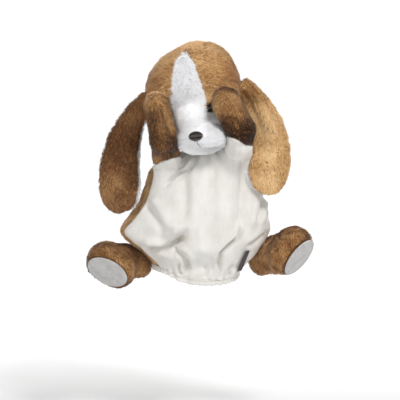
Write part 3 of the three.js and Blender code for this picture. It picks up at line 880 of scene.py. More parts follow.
def satin(name, at, size, strands, dome, node, base):
    """A padded oval of side-by-side satin stitches, its edge base mm off the head's skin."""
    paths = []
    for row in np.linspace(-1, 1, strands):
        crown = math.sqrt(1 - (row * 0.97) ** 2)
        half = size[0] * crown + 0.35
        across = np.linspace(-1, 1, 11)
        x = at[0] + half * across
        z = np.full(len(x), at[2] + size[1] * row + 0.12 * math.sin(7 * row))
        skin = from_front(x, z)
        normal = HEAD.field(skin)[1]
        height = dome * crown * np.sqrt(np.maximum(0, 1 - across**2)) + base
        paths.append(head_to_world(skin + normal * height[:, None]))
    hang(add_tubes(name, paths, size[1] / strands * 1.25, THREAD), "head", node)


def make_face():
    satin("nose_satin", NOSE_AT, (NOSE_SIZE[0], NOSE_SIZE[2]), 15, 3.4, "nose", -1.0)
    for side, at in EYES.items():
        satin(f"eye_{side}_satin", at, (EYE_RADIUS, EYE_RADIUS), 11, 2.6, f"eye_{side}", 0.2)
    path = spline(MOUTH_PATH, np.linspace(0, 1, 30))
    skin = from_front(path[:, 0], path[:, 2])
    thread = head_to_world(head_surface(skin) + HEAD.field(skin)[1] * 1.1)
    hang(add_tubes("mouth_thread", [thread], 0.3, MOUTH_THREAD), "head", "mouth_stitch")


# ---- ears


def ear_half(share):
    widening = np.sin((np.pi / 2) * np.minimum(1, share / 0.8)) ** 1.5
    neck = EAR_ROOT_HALF + (EAR_HALF - EAR_ROOT_HALF) * widening
    return neck * np.sqrt(np.maximum(0, 1 - (np.maximum(0, share - 0.74) / 0.26) ** 2.2))


def ear_layer(side, start, thick, extra, crease, shift=0.0):
    """A closed flat layer of an ear: rings along its spine, swollen between its edges."""
    ear = EARS[side]
    shares = np.concatenate([np.linspace(0, 0.86, 90), 1 - 0.14 * np.cos(np.linspace(0.06, 1.55, 26))])
    spine = spline(ear["spine"], shares)
    along = unit(np.gradient(spine, axis=0))
    across = unit(np.cross(along, unit(np.array(ear["facing"], float))))
    out = unit(np.cross(across, along))
    sides = 96
    angle = 2 * np.pi * np.arange(sides) / sides
    half = np.maximum(0.4, ear_half(shares) + extra)[:, None]
    x = half * np.sign(np.cos(angle)) * np.abs(np.cos(angle)) ** 0.85
    swell = thick * np.sign(np.sin(angle)) * np.abs(np.sin(angle)) ** 0.7
    height = start + swell * np.minimum(1, (half / 8) ** 0.5)
    height = height + crease(shares[:, None], x / half)
    sideways = (x + shift * step(0.1, 0.5, shares)[:, None])[..., None] * across[:, None]
    points = (spine[:, None] + sideways + height[..., None] * out[:, None]).reshape(-1, 3)
    faces = grid_faces(len(shares), sides, True)
    count = len(points)
    last = (len(shares) - 1) * sides
    points = np.concatenate([points, points[:sides].mean(0)[None], points[last:].mean(0)[None]])
    ring = np.arange(sides)
    faces = np.concatenate([faces, fan(ring, count), fan(last + ring, count + 1)[:, [1, 0, 2]]])
    return points, facing_out(points, faces)


def ear_crease(side):
    if side == "right":
        ends = lambda s: step(0.2, 0.45, s) * step(0.85, 0.6, s)
        return lambda s, v: -1.6 * bell(v - 0.05, 0.35) * ends(s)

    def fold(s, v):
        ridge = 2.6 * bell(v - 0.25 + 0.2 * s, 0.22) * step(0, 0.15, s) * step(0.75, 0.45, s)
        hollow = -2.2 * bell(v + 0.45, 0.3) * step(0.02, 0.15, s) * step(0.7, 0.4, s)
        return ridge + hollow

    return fold


# How far the white layer is shifted across each ear, towards the puppet's body, in mm.
INNER_EDGE = {"right": -1.2, "left": 2.4}


# Painted shade and painted light on each ear's pile: the upper parts darker as painted shade, the lower and
# middle parts lighter as painted light, with a dark band down the left ear's inner edge. Middle and size in
# the picture plane, and change of its shade.
EAR_PAINTED_LIGHT_AND_SHADE = {
    "right": (((-86, 82), (16, 30), 0.2), ((-72, 140), (30, 40), -0.14)),
    "left": (((74, 125), (12, 40), 0.26), ((60, 186), (14, 12), -0.4), ((60, 120), (6, 40), -0.12)),
}


def make_ears():
    for side, sign in (("right", -1), ("left", 1)):
        crease = ear_crease(side)
        points, faces = ear_layer(side, 0, EAR_THICK - 1.4, -1.5, crease)
        points = points + 0.5 * noise_vectors(points, 14, 21)
        normal = normals_of(points, faces)
        body = "ear_" + side
        plush = add_mesh(body + "_plush_cloth", points, faces, [BROWN_BASE])
        spine = np.array(EARS[side]["spine"], float)
        nap = lambda p, spine=spine: (p - [spine[2, 0], 0, 0]) * [0.005, 0, 0] - [0, 0, 1]
        pile = add_pile(
            body + "_pile", points, faces, normal, nap,
            Pile(EAR_LIT_AND_SHADED_PILE[side], density=2.1, length=4.2, width=0.8, seed=31 + sign, rise=(46, 14)),
            tone=lambda p, side=side: spot_painted_light_and_shade(p, EAR_PAINTED_LIGHT_AND_SHADE[side]),
        )
        back, back_faces = ear_layer(side, -EAR_THICK - 1.2, 1.5, 0.2, crease, INNER_EDGE[side])
        back_normal = normals_of(back, back_faces)
        lining = add_mesh(body + "_lining_cloth", back, back_faces, [WHITE_BASE])
        white = add_pile(
            body + "_lining_pile", back, back_faces, back_normal, nap,
            Pile(WHITE_PILE, density=1.3, length=2.6, width=0.6, seed=35 + sign, rise=(50, 15)),
        )
        hang(plush, body, body + "_plush")
        hang(pile, body)
        hang(lining, body, body + "_lining")
        hang(white, body)


# ---- arms


ARM_SLACK = {  # loose plush between each arm and the head
    "right": ((-27, -32, 124), (-28, -42, 138), 9.5),
    "left": ((42, -40, 138), (42, -46, 143), 10),
}


def arm_shape(side):
    lobes = ARMS[side]
    root, elbow = np.array(lobes[0][0], float), np.array(lobes[0][1], float)
    middle = elbow + 0.2 * (np.array(lobes[-1][1], float) - elbow)
    return Shape((*lobes, ARM_SLACK[side]), middle, root - middle), root, unit(elbow - root)


# Painted shade and painted light on each arm's pile: lighter on the raised paws, darker below and under them.
# Middle and size in the picture plane, and change of its shade.
ARM_PAINTED_LIGHT_AND_SHADE = {
    "right": (((-44, 184), (14, 10), 0.34), ((-25, 130), (9, 14), -0.34), ((-46, 150), (8, 22), -0.2)),
    "left": (((36, 176), (24, 15), 0.16), ((46, 143), (20, 12), -0.6), ((24, 156), (10, 6), -0.2)),
}


ARM_FOLDS = {
    "right": (
        (((-50, 187), (-45, 177), (-39, 166), (-36, 156), (-33, 147), (-33, 137)), 1.8, 3.0),
        (((-46, 184), (-38, 172), (-31, 158), (-27, 146), (-26, 134)), -2.2, 3.0),
        (((-52, 168), (-49, 158), (-45, 148), (-43, 138)), -2.0, 3.0),
        (((-40, 119), (-34, 124), (-27, 124)), -2.2, 2.4),
        (((-33, 143), (-28, 140), (-21, 141)), -1.8, 2.2),
    ),
    "left": (
        (((28, 158), (33, 161), (40, 160), (45, 154), (50, 149), (57, 149)), -3.2, 2.0),
        (((30, 151), (38, 148), (48, 146), (57, 146)), -1.4, 2.2),
        (((38, 140), (48, 142), (57, 141)), -1.8, 2.2),
        (((18, 188), (26, 184), (36, 178), (46, 170)), 1.2, 4.0),
    ),
}


def make_arms():
    for side in SIDES:
        shape, root, along = arm_shape(side)
        points, faces = shape.skin(2, 110, 120)
        outward = shape.field(points)[1]
        depth = -1.7 + 0.8 * noise(points, 13, 41) + 0.35 * noise(points, 5, 42)
        facing = step(0.1, -0.4, outward[:, 1])
        seen = front_view(points)
        for path, lift, width in ARM_FOLDS[side]:
            away, _ = line_distance(seen, path)
            depth += lift * facing * bell(away, width)
        sewn = points + outward * np.maximum(depth, -5)[:, None]
        normal = normals_of(sewn, faces)
        nap = lambda p: np.tile([0.0, -0.1, -1.0], (len(p), 1))
        cover = thicken(add_mesh(f"arm_{side}_plush", sewn, faces, [BROWN_BASE]), ARM_BACKING)
        pile = add_pile(
            f"arm_{side}_pile", sewn, faces, normal, nap,
            Pile(ARM_LIT_AND_SHADED_PILE, density=2.0, length=3.9, seed=43 if side == "right" else 44),
            keep=lambda p, side=side: below_sleeve_edge(p, side) < -2.6,
            tone=lambda p, side=side: spot_painted_light_and_shade(p, ARM_PAINTED_LIGHT_AND_SHADE[side]),
        )
        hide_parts(f"arm_{side}_cover")
        for piece in (cover, pile):
            stretch(piece, "arm_" + side, "plush_brown", root, along)
        make_sleeve(side)


# Upper edge of the tunic's cloth on each arm, as places across and up the picture plane.
SLEEVE_EDGE = {
    "right": ((-60, -47, -40, -28, -16, 0), (107, 110, 114, 118, 121.5, 123)),
    "left": ((20, 31, 41, 49, 58, 64), (142, 141, 138, 132.5, 131, 131)),
}


def below_sleeve_edge(points, side):
    """How far below the tunic's edge places on an arm lie, in mm."""
    seen = front_view(points)
    return np.interp(seen[:, 0], *SLEEVE_EDGE[side]) + 0.5 * noise(points, 9, 47) - seen[:, 1]


def make_sleeve(side):
    """The tunic's cloth where it runs up round the bottom of an arm."""
    shape, root, along = arm_shape(side)
    points, faces = shape.skin(2, 110, 120)
    outward = shape.field(points)[1]
    below = below_sleeve_edge(points, side)
    pleat = np.cos(front_view(points)[:, 0] * 0.9 + 0.12 * below)
    lift = 1.4 + 1.0 * step(0, 14, below) + 0.7 * noise(points, 12, 48) + 0.4 * pleat * step(0, 6, below)
    lift -= 0.8 * step(2.0, 0, below)
    cloth = points + outward * lift[:, None]
    both, faces = clip(np.concatenate([cloth, points], 1), faces, -below)
    sleeve = thicken(add_mesh(f"tunic_sleeve_{side}", both[:, :3], faces, [TUNIC_CLOTH]), VELOUR)
    stretch(sleeve, "arm_" + side, "velour_cream", root, along)


# ---- legs


def leg_shape(side):
    leg = LEGS[side]
    normal = unit(np.array(leg["sole"], float))
    hip, foot = np.array(leg["lobes"][0][0], float), np.mean(leg["lobes"][2][:2], 0)
    middle = np.array(leg["lobes"][1][1], float)
    distance = (foot - middle) @ normal + HEEL
    return Shape((*leg["lobes"], leg["thigh"]), middle, hip - middle, (normal, distance)), hip, foot, normal


def sole_axes(side, normal):
    """The directions along the sole's length and width."""
    width = unit(np.cross(normal, np.array(LEGS[side]["along"], float)))
    return np.cross(width, normal), width


def make_legs():
    for side in SIDES:
        shape, hip, foot, normal = leg_shape(side)
        length, width = sole_axes(side, normal)
        centre = foot + normal * HEEL

        def sole_share(p):
            q = p - centre
            flat = np.sqrt((q @ length / SOLE_SIZE[0]) ** 2 + (q @ width / SOLE_SIZE[1]) ** 2)
            return np.where(q @ normal > -7, flat, 9)

        points, faces = shape.skin(1, 110, 140)
        outward = shape.field(points)[1]
        depth = -1.9 + 1.0 * noise(points, 16, 51) + 0.5 * noise(points, 6, 52)
        rim = sole_share(points)
        depth -= 1.6 * bell(rim - 1, 0.09)
        sewn = points + outward * depth[:, None]
        cover = thicken(add_mesh(f"leg_{side}_plush", sewn, faces, [LEG_SHADED_BASE]), ARM_BACKING)
        towards = unit(foot - hip)
        nap = lambda p, towards=towards: np.tile(0.35 * towards + np.array([0, 0, -1.0]), (len(p), 1))
        pile = add_pile(
            f"leg_{side}_pile", sewn, faces, normals_of(sewn, faces), nap,
            Pile(LEG_SHADED_PILE, density=2.0, length=4.2, clump=5, seed=53 if side == "right" else 54),
            keep=lambda p: sole_share(p) > 1.0,
            grow=lambda p: 0.6 + 0.4 * step(1, 1.25, sole_share(p)),
        )
        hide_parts(f"leg_{side}_cover")
        hip_to = unit(np.array(LEGS[side]["lobes"][0][1], float) - hip)
        for piece in (cover, pile):
            stretch(piece, "leg_" + side, "plush_brown", hip, hip_to)
        make_sole(side, centre, length, width, normal)


def make_sole(side, centre, length, width, normal):
    """A domed velour pad whose edge turns under into its seam."""
    rings, sides = 26, 120
    share = np.linspace(0, 1, rings + 1)[1:]
    angle = 2 * np.pi * np.arange(sides) / sides
    s, a = (x.ravel() for x in np.meshgrid(share, angle, indexing="ij"))
    flat = (s * np.cos(a) * SOLE_SIZE[0])[:, None] * length + (s * np.sin(a) * SOLE_SIZE[1])[:, None] * width
    height = 0.4 + 1.9 * np.sqrt(np.maximum(0, 1 - s**3.2)) + 0.3 * noise(flat, 9, 55) * (1 - s**2)
    points = centre + flat + height[:, None] * normal
    faces = grid_faces(rings, sides, True)[:, ::-1]
    points = np.concatenate([points, (centre + 2.3 * normal)[None]])
    faces = np.concatenate([faces, fan(np.arange(sides), len(points) - 1)])
    faces = faces if (face_cross(points, faces) @ normal).sum() > 0 else faces[:, ::-1]
    obj = thicken(add_mesh(f"leg_{side}_sole_velour", points, faces, [SOLE_SHADED_CLOTH]), SOLE_VELOUR)
    hang(obj, "leg_" + side, f"leg_{side}_sole")


# ---- glove


def glove_points(shares, angles, inset):
    """Points of the glove's cloth by share of height and angle, inset by some mm from its outer face."""
    height, right, left, front, back, rise, drop = spline(GLOVE, shares).T
    above, below = spline(GLOVE, np.minimum(1, shares + 0.02)), spline(GLOVE, np.maximum(0, shares - 0.02))
    change = above - below
    climb = unit(np.stack([(change[:, 1] + change[:, 2]) / 2, change[:, 0]], 1))
    across, deep = np.cos(angles), np.sin(angles)
    x = across * (np.where(across > 0, left, right) - inset * climb[:, 1])
    y = deep * (np.where(deep > 0, back, front) - inset * climb[:, 1])
    slope = np.maximum(0, 1 - height / HEM_FADE)
    z = height + inset * climb[:, 0] + slope * (HEM_ROLL * x + HEM_PITCH * y)
    z = z + across * np.where(across > 0, rise, drop)
    middle, size, lift, fade = HEM_LIFT
    z = z + lift * bell(x - middle, size) * step(0, -14, y) * np.maximum(0, 1 - height / fade)
    return np.stack([x, y, z], 1)


def gathers(angles, count, seed):
    """Uneven pleats round a ring, from -1 to 1."""
    wander = 1.3 * np.sin(3 * angles + seed) + 0.8 * np.sin(7 * angles + 2 * seed)
    strength = 0.65 + 0.35 * np.sin(5 * angles + 3 * seed)
    return strength * np.cos(count * angles + wander * 2)


NECK_PLEATS = (30, 1)  # number of pleats, and the seed of their unevenness
HEM_PLEATS = (36, 2)


def edge_gathers(height, shares, angles, neck, hem):
    """Pleats that fade away from the neck and from the hem, with a depth at each."""
    at_neck = neck * gathers(angles, *NECK_PLEATS) * np.exp(-np.maximum(0, GLOVE[-1, 0] - height) / 9)
    return at_neck + hem * gathers(angles, *HEM_PLEATS) * np.exp(-shares / 0.075)


# Creases of the tunic as places across and up the picture plane: path, depth, width, and the
# swelling beside the crease, on the left of its path if positive.
CREASES = (
    (((-7, 120), (-13, 113), (-20, 106)), 3.2, 1.7, 1.4),
    (((-12, 108), (-22, 100), (-31, 91)), 3.4, 1.8, 2.0),
    (((3, 124), (-2, 114), (-8, 106)), 2.2, 2.0, 0.8),
    (((-11, 118), (-13, 98), (-12, 72), (-15, 52)), 2.8, 5.0, 2.0),
    (((14, 121), (17, 100), (15, 84)), 1.8, 3.2, 1.0),
    (((28, 122), (33, 104), (35, 88)), 2.2, 3.5, 1.2),
    (((46, 118), (49, 90), (47, 62), (45, 46)), 6.5, 5.5, 3.5),
    (((33, 137), (37, 133), (41, 126)), 2.4, 1.5, 1.0),
    (((41, 133), (47, 128), (54, 124)), 2.0, 1.6, 1.0),
    (((-56, 74), (-47, 60), (-38, 48), (-33, 40)), 4.6, 5.0, 3.4),
    (((-60, 25), (-50, 23), (-36, 22), (-26, 26), (-17, 34), (-12, 42)), 9.5, 3.8, 5.5),
    (((-30, 19), (-22, 21), (-15, 18), (-10, 10), (-10, 0)), 5.5, 2.8, 3.0),
    (((-52, 17), (-44, 15), (-34, 12)), 2.6, 2.8, 1.5),
    (((48, 48), (43, 36), (33, 28), (25, 20), (22, 10), (24, -4)), 6.0, 2.4, -4.0),
    (((72, 40), (60, 31), (52, 27)), 3.0, 2.6, -1.8),
    (((69, 82), (66, 66), (62, 50)), 4.0, 2.6, 2.0),
    (((74, 72), (72, 62), (74, 54)), 2.0, 2.0, 1.0),
    (((-19, 9), (-19, 3), (-17, -3)), 3.2, 1.6, 1.4),
    (((9, 6), (10, 0), (8, -8)), 2.6, 2.0, 1.4),
    (((38, 8), (34, 2), (33, -6)), 3.0, 1.7, 1.4),
)
# Slack of the tunic's cloth: middle and size in the picture plane, and how far it moves.
BULGES = (
    ((-75, 43), (11, 13), (-7, 0, 0)),
    ((42, 119), (13, 22), (1, -17, 9.5)),
    ((-38, 112), (12, 14), (0, -7, 5)),
    ((-29, 48), (20, 8), (0, -7, 0)),
    ((-25, 31), (12, 8), (0, 11, 0)),
    ((6, 24), (15, 8), (0, -5, 0)),
    ((4, 7), (17, 7), (0, 6, 0)),
    ((43, 84), (8, 26), (0, 5, 0)),
)


def tunic_folds(points, shares, angles):
    """How far the front's cloth stands out of its plain shape, in mm."""
    seen = front_view(points)
    lift = 1.2 * noise(points, 34, 61) + 0.35 * noise(points, 12, 62) + 1.4
    for path, depth, width, swell in CREASES:
        away, along = line_distance(seen, path)
        nearest = spline(path, along)
        way = unit(spline(path, np.minimum(1, along + 0.02)) - spline(path, np.maximum(0, along - 0.02)))
        offset = seen - nearest
        left = way[:, 0] * offset[:, 1] - way[:, 1] * offset[:, 0]
        ends = 0.25 + 0.75 * (step(0, 0.18, along) * step(1, 0.8, along))
        lift -= depth * ends * bell(away, width)
        beside = np.sign(swell) * left / width
        lift += abs(swell) * ends * bell(away / width - 2.0, 1.1) * step(0, 0.8, beside)
    for side in SIDES:
        _, root, along = arm_shape(side)
        reach = np.clip((points - root) @ along, 0, 40)
        away = np.linalg.norm(points - root - reach[:, None] * along, axis=1)
        lift += 5.5 * np.exp(-np.maximum(0, away - 14) / (5 if side == "right" else 9))
    return lift + edge_gathers(points[:, 2], shares, angles, 1.7, 1.5)


def slack_cloth(points):
    """How far the front's slack cloth moves, in mm."""
    seen = front_view(points)
    moved = np.zeros((len(points), 3))
    for middle, size, reach in BULGES:
        moved += blob(seen, middle, size)[:, None] * reach
    moved[:, 1:] *= step(0, -7, seam_distance(points))[:, None]
    return moved


def seam_distance(points):
    """How far points lie behind the plane of the side seams, in mm."""
    return (points[:, 1] - SEAM_MIDDLE - SEAM_SLOPE * points[:, 0]) / math.hypot(1, SEAM_SLOPE)


def glove_grid(inset, rows=160, columns=440):
    """The glove's plain cloth all round: points, faces, outward normals, shares of height and angles."""
    around = 2 * np.pi * np.arange(columns) / columns
    shares, angles = (x.ravel() for x in np.meshgrid(np.linspace(0, 1, rows), around, indexing="ij"))
    points = glove_points(shares, angles, inset)
    faces = grid_faces(rows, columns, True)
    normal = normals_of(points, faces)
    if (normal[:, 0] * points[:, 0]).sum() < 0:
        faces, normal = faces[:, ::-1], -normal
    return points, faces, normal, shares, angles


def off_arms(points):
    """How far points lie inside the armholes, in mm."""
    inside = np.full(len(points), -50.0)
    for side in SIDES:
        _, root, along = arm_shape(side)
        offset = points - root
        reach = offset @ along
        away = np.linalg.norm(offset - reach[:, None] * along, axis=1)
        inside = np.maximum(inside, np.where((reach > -3) & (reach < 40), ARMHOLE - away, -50))
    return inside


def glove_half(points, faces, shaped, sign):
    """The front (sign 1) or back half of the glove's cloth, with its armholes."""
    both = np.concatenate([points, shaped], 1)
    both, faces = clip(both, faces, sign * seam_distance(both[:, :3]) + 0.15)
    both, faces = clip(both, faces, off_arms(both[:, :3]))
    return both[:, 3:], faces


LINING_INSET = 5.0


def make_glove():
    points, faces, normal, shares, angles = glove_grid(0)
    seam = seam_distance(points)
    pinch = -1.5 * bell(seam, 2.0)
    front_lift = tunic_folds(points, shares, angles) * step(0, -7, seam) + pinch
    front = points + normal * front_lift[:, None]
    front += slack_cloth(points)
    tunic_points, tunic_faces = glove_half(points, faces, front, 1)
    tunic = thicken(add_mesh("tunic_velour", tunic_points, tunic_faces, [TUNIC_CLOTH]), VELOUR)
    hang(tunic, "glove", "tunic_front")

    back_lift = -1.6 + 1.3 * noise(points, 30, 71) + 0.5 * noise(points, 11, 72) + pinch * 0.6
    back_lift += edge_gathers(points[:, 2], shares, angles, 1.0, 1.0)
    back = points + normal * back_lift[:, None]
    back_points, back_faces = glove_half(points, faces, back, -1)
    panel = thicken(add_mesh("back_plush", back_points, back_faces, [BROWN_BASE]), ARM_BACKING)
    nap = lambda p: np.tile([0.0, 0.0, -1.0], (len(p), 1))
    pile = add_pile(
        "back_pile", back_points, back_faces, normals_of(back_points, back_faces), nap,
        Pile(BROWN_PILE, density=1.7, length=3.6, seed=73),
    )
    hang(panel, "glove", "back_panel")
    hang(pile, "glove")

    deep, deep_faces, deep_normal, shares, angles = glove_grid(LINING_INSET, 90, 240)
    hollows = np.minimum(0, tunic_folds(deep, shares, angles))
    lift = 0.5 * hollows * step(0, -7, seam_distance(deep)) - 0.4 + 0.5 * noise(deep, 15, 81)
    hung = deep + deep_normal * lift[:, None]
    hung[:, 1] += np.maximum(0, slack_cloth(deep)[:, 1])
    for name, sign in (("front", 1), ("back", -1)):
        lining_points, lining_faces = glove_half(deep, deep_faces, hung, sign)
        lining = add_mesh(f"lining_{name}_cotton", lining_points, lining_faces, [LINING_CLOTH])
        hang(thicken(lining, COTTON), "glove", "lining_" + name)
    return tunic


HEM_COLUMNS = 480
HEM_STITCHES = 112
CASING_WALL = 1.0
CASING_SLOT = 2.4
ELASTIC_SECTION = np.array([[0, 1.2], [0, 3], [0, 4.8], [0.9, 4.8], [0.9, 3], [0.9, 1.2]])


def hem_section():
    """The casing's section: distance inwards and down from the tunic's lower edge, with a rounded fold."""
    wall, top = CASING_WALL, GAP - 0.5
    outer = 2 * wall + CASING_SLOT
    bottom = HEM_HEIGHT + GAP
    turn = np.linspace(0, np.pi, 11)
    middle, half = outer / 2, outer / 2
    fold = np.stack([middle - half * np.cos(turn), bottom - half + half * np.sin(turn)], 1)
    inner = half - wall
    back = np.stack([middle + inner * np.cos(turn), bottom - half + inner * np.sin(turn)], 1)
    down = np.linspace(top, bottom - half, 7)[:-1]
    up = down[::-1]
    return np.concatenate(
        [
            np.stack([0 * down, down], 1),
            fold,
            np.stack([0 * up + outer, up], 1),
            np.stack([0 * down + outer - wall, down], 1),
            back,
            np.stack([0 * up + wall, up], 1),
        ]
    )


def ring_sweep(section, columns, place):
    """A closed ring: a closed section carried round, each corner put in place by its row and angle."""
    angle = 2 * np.pi * np.arange(columns) / columns
    rows = len(section)
    k, a = np.meshgrid(np.arange(rows), angle, indexing="ij")
    points = place(section[k.ravel()], a.ravel())
    ring = grid_faces(rows, columns, True)
    last = (rows - 1) * columns
    c = np.arange(columns)
    d = np.roll(c, -1)
    joint = np.concatenate([np.stack([last + c, d, last + d], 1), np.stack([last + c, c, d], 1)])
    faces = np.concatenate([ring, joint])
    return points, facing_out(points, faces)


def hem_line(angle):
    """The tunic's lower edge at angles round it, and its level way inwards."""
    edge = glove_points(np.zeros(len(angle)), angle, 0)
    level = glove_points(np.zeros(len(angle)), angle, 1.0) - edge
    level[:, 2] = 0
    return edge, level


def make_hem():
    def place(section, angle):
        pleat = gathers(angle, *HEM_PLEATS)
        small = gathers(angle, 71, 5)
        inwards = section[:, 0] - 0.9 * pleat - 0.5
        points, level = hem_line(angle)
        depth = section[:, 1] / (HEM_HEIGHT + GAP)
        points = points + level * (inwards - 0.9 * depth**2 * (1 + 0.5 * small))[:, None]
        points[:, 2] -= section[:, 1] + depth * (0.45 * pleat + 0.35 * small)
        return points

    points, faces = ring_sweep(hem_section(), HEM_COLUMNS, place)
    hem = add_mesh("hem_casing_velour", points, faces, [TUNIC_CLOTH])
    hang(hem, "glove", "hem_casing")

    def band(section, angle):
        points, level = hem_line(angle)
        points = points + level * (section[:, 0] + 1.7 + 0.15 * np.sin(90 * angle))[:, None]
        points[:, 2] -= section[:, 1]
        return points

    points, faces = ring_sweep(ELASTIC_SECTION, HEM_COLUMNS, band)
    elastic = add_mesh("hem_elastic_band", points, faces, [ELASTIC])
    hang(elastic, "glove", "hem_elastic")

    stitches = []
    for k in range(HEM_STITCHES):
        angle = 2 * np.pi * (k + np.linspace(0.12, 0.78, 5)) / HEM_STITCHES
        section = np.stack([np.full(5, -0.25) - 0.35 * np.sin(np.linspace(0, np.pi, 5)), np.full(5, 0.9)], 1)
        stitches.append(place(section, angle))
    hang(add_tubes("hem_stitches", stitches, 0.28, CREAM_THREAD, 5), "glove")


LABEL_SIZE = (8, 25, 1.4)
LABEL_PLACE = (0.2, 320)
LABEL_RAISE = 3.2
LABEL_TURN = 14


def make_label():
    """A folded woven tag, blank, curling a little off the tunic."""
    share, turn = LABEL_PLACE
    angle = math.radians(turn)
    at = glove_points(np.array([share, share + 0.04, share]), np.array([angle, angle, angle + 0.1]), 0)
    along = unit(at[1] - at[0])
    out = unit(np.cross(unit(at[2] - at[0]), along))
    across = np.cross(along, out)
    lean = math.radians(LABEL_TURN)
    along, across = (
        math.cos(lean) * along - math.sin(lean) * across, math.cos(lean) * across + math.sin(lean) * along
    )
    wide, tall, _ = LABEL_SIZE
    rows, columns = 50, 60
    v, u = np.meshgrid(np.linspace(-0.5, 0.5, rows), np.linspace(0, 1, columns), indexing="ij")
    v, u = v.ravel(), u.ravel()
    # The strip runs out on one face, round the fold and back on the other.
    reach = 1 - np.abs(2 * u - 1)
    face = np.sign(u - 0.5)
    x = wide * (reach - 0.5)
    curl = 1.3 * reach**2 + 0.5 * np.sin(3 * v + 1) * reach
    gap = 0.42 * np.sqrt(np.clip((1 - reach) * 12, 0, 1))
    z = LABEL_RAISE - 0.6 + curl - face * gap
    points = at[0] + np.outer(-x, across) + np.outer(tall * v, along) + np.outer(z, out)
    faces = grid_faces(rows, columns, False)
    label = thicken(add_mesh("side_label_woven", points, faces, [LABEL_CLOTH]), WOVEN)
    hang(label, "glove", "side_label")


def make_neck():
    """The ring of pleats between glove and head, drawn tight by its thread."""
    half = 3.4
    turn = np.linspace(0, 2 * np.pi, 25)[:-1]
    section = np.stack([1.9 * np.cos(turn), half * np.sin(turn)], 1)

    def place(s, angle):
        waist = 1 - 0.5 * bell(s[:, 1], 1.2)
        radius = NECK_RADIUS - 1.2 + s[:, 0] * waist + 0.8 * gathers(angle, *NECK_PLEATS) * (s[:, 0] > 0)
        x, y = NECK_AT[0] + radius * np.cos(angle), NECK_AT[1] + radius * np.sin(angle)
        return np.stack([x, y, NECK_AT[2] + s[:, 1]], 1)

    points, faces = ring_sweep(section, 300, place)
    neck = add_mesh("neck_gather", points, faces, [TUNIC_CLOTH])
    hang(neck, "neck", "neck_binding")


# ---- inside pieces


def make_inside(node, body, material, lumps, inset=0.0):
    """A soft copy of a CAD piece inside the puppet: rounded, lumpy and drawn in by some mm."""
    obj = bpy.data.objects.new(node + "_soft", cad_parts[node].data.copy())
    bpy.context.scene.collection.objects.link(obj)
    obj.modifiers.new("weld", "WELD").merge_threshold = 0.02 * MM
    obj.modifiers.new("round", "SUBSURF").levels = 2
    apply_modifiers(obj)
    mesh = obj.data
    place = np.zeros(len(mesh.vertices) * 3, np.float32)
    mesh.vertices.foreach_get("co", place)
    points = place.reshape(-1, 3).astype(float) / MM
    normal = np.zeros(len(mesh.vertices) * 3, np.float32)
    mesh.vertices.foreach_get("normal", normal)
    lump = lumps * (noise(points, 7, 91) - 1) * 0.5 - inset
    points += normal.reshape(-1, 3) * lump[:, None]
    mesh.vertices.foreach_set("co", (points * MM).astype(np.float32).ravel())
    mesh.polygons.foreach_set("use_smooth", np.ones(len(mesh.polygons), bool))
    mesh.materials.clear()
    mesh.materials.append(material)
    mesh.update()
    for key in list(obj.keys()):
        del obj[key]
    return hang(obj, body, node)


def make_insides():
    make_inside("head_filling", "head", STUFFING, 1.4, 0.5)
    make_inside("head_finger_sleeve", "head", LINING_CLOTH, 0.3)
    for side in SIDES:
        make_inside(f"paw_{side}_filling", "arm_" + side, STUFFING, 1.2, 4.5)
        make_inside(f"arm_{side}_finger_sleeve", "arm_" + side, LINING_CLOTH, 0.3)
        make_inside(f"leg_{side}_filling", "leg_" + side, STUFFING, 1.2, 1.5)


# ---- stage


LIGHTS = {  # place in m, size in m and power in W
    "key": ((0.55, -1.2, 1.3), 0.45, 18),
    "fill": ((-0.9, -1.4, 0.4), 1.2, 4),
    "top": ((0.1, 0.1, 1.6), 0.9, 8),
}
LIGHT_AIM = (0, 0, 0.09)
WORLD_GLOW = 0.46
PAPER_GLOW = 0.6  # reached at GLOW_REACH
GLOW_REACH = (0.1, 0.6)  # m behind the puppet


def add_area_light(name, at, size, power):
    light = bpy.data.lights.new(name, "AREA")
    light.shape = "DISK"
    light.size = size
    light.energy = power
    obj = bpy.data.objects.new(name, light)
    obj.location = at
    aim = Vector(LIGHT_AIM) - Vector(at)
    obj.rotation_euler = aim.to_track_quat("-Z", "Y").to_euler()
    bpy.context.scene.collection.objects.link(obj)


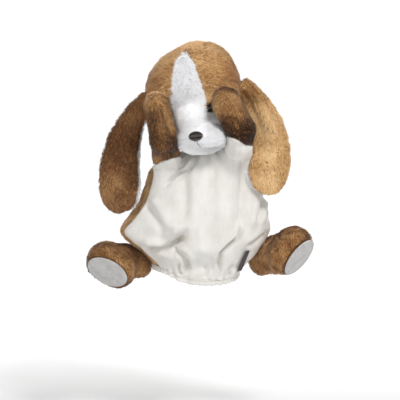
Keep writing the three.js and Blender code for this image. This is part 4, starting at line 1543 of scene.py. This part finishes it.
def make_stage():
    back = np.linspace(0, 1, 40)
    bend = 1.5
    along = np.where(back < 0.5, -6 + back * 20, 4 + bend * np.sin((back - 0.5) * np.pi))
    rise = np.where(back < 0.5, 0, bend * 4 * (1 - np.cos((back - 0.5) * np.pi)) / 2)
    x = np.array([-FLOOR_REACH, FLOOR_REACH])
    points = np.array([[a, b, FLOOR_Z + c] for b, c in zip(along, rise) for a in x]) / MM
    faces = grid_faces(len(back), 2, False)
    material, shader = new_material("pale_paper", 0.9, 0)
    tree = material.node_tree
    place = texture_place(tree, (1, 1, 1))
    tone = ramp_node(tree, noise_node(tree, place, 300, 2), [(0.3, (236, 236, 236)), (0.7, (239, 239, 239))])
    tree.links.new(tone, shader.inputs["Base Color"])
    shader.inputs["Emission Color"].default_value = (1, 1, 1, 1)
    # The paper glows softly behind the puppet only, so that no light comes up from below it.
    far = tree.nodes.new("ShaderNodeMapRange")
    parts = tree.nodes.new("ShaderNodeSeparateXYZ")
    tree.links.new(place, parts.inputs["Vector"])
    tree.links.new(parts.outputs["Y"], far.inputs["Value"])
    for socket, value in zip(("From Min", "From Max", "To Min", "To Max"), (*GLOW_REACH, 0, PAPER_GLOW)):
        far.inputs[socket].default_value = value
    tree.links.new(far.outputs["Result"], shader.inputs["Emission Strength"])
    add_mesh("floor", points, faces, [material])

    world = bpy.data.worlds.new("studio")
    world.use_nodes = True
    world.node_tree.nodes["Background"].inputs["Color"].default_value = (1, 1, 1, 1)
    world.node_tree.nodes["Background"].inputs["Strength"].default_value = WORLD_GLOW
    bpy.context.scene.world = world
    for name, (at, size, power) in LIGHTS.items():
        add_area_light(name, at, size, power)
    bpy.context.scene.view_settings.view_transform = "Standard"


def make_camera():
    tilt = math.radians(CAMERA_TILT)
    lens = bpy.data.cameras.new("camera")
    lens.sensor_width = SENSOR
    lens.lens = SENSOR * VIEW_DISTANCE / (VIEW_WIDTH * MM)
    camera = bpy.data.objects.new("camera", lens)
    at = Vector(VIEW_AT) * MM
    camera.location = at + VIEW_DISTANCE * Vector((0, -math.cos(tilt), math.sin(tilt)))
    camera.rotation_euler = (math.pi / 2 - tilt, 0, 0)
    bpy.context.scene.collection.objects.link(camera)
    bpy.context.scene.camera = camera


make_camera()
make_stage()
make_head()
make_face()
make_ears()
make_arms()
make_legs()
TUNIC = make_glove()
make_hem()
make_label()
make_neck()
make_insides()
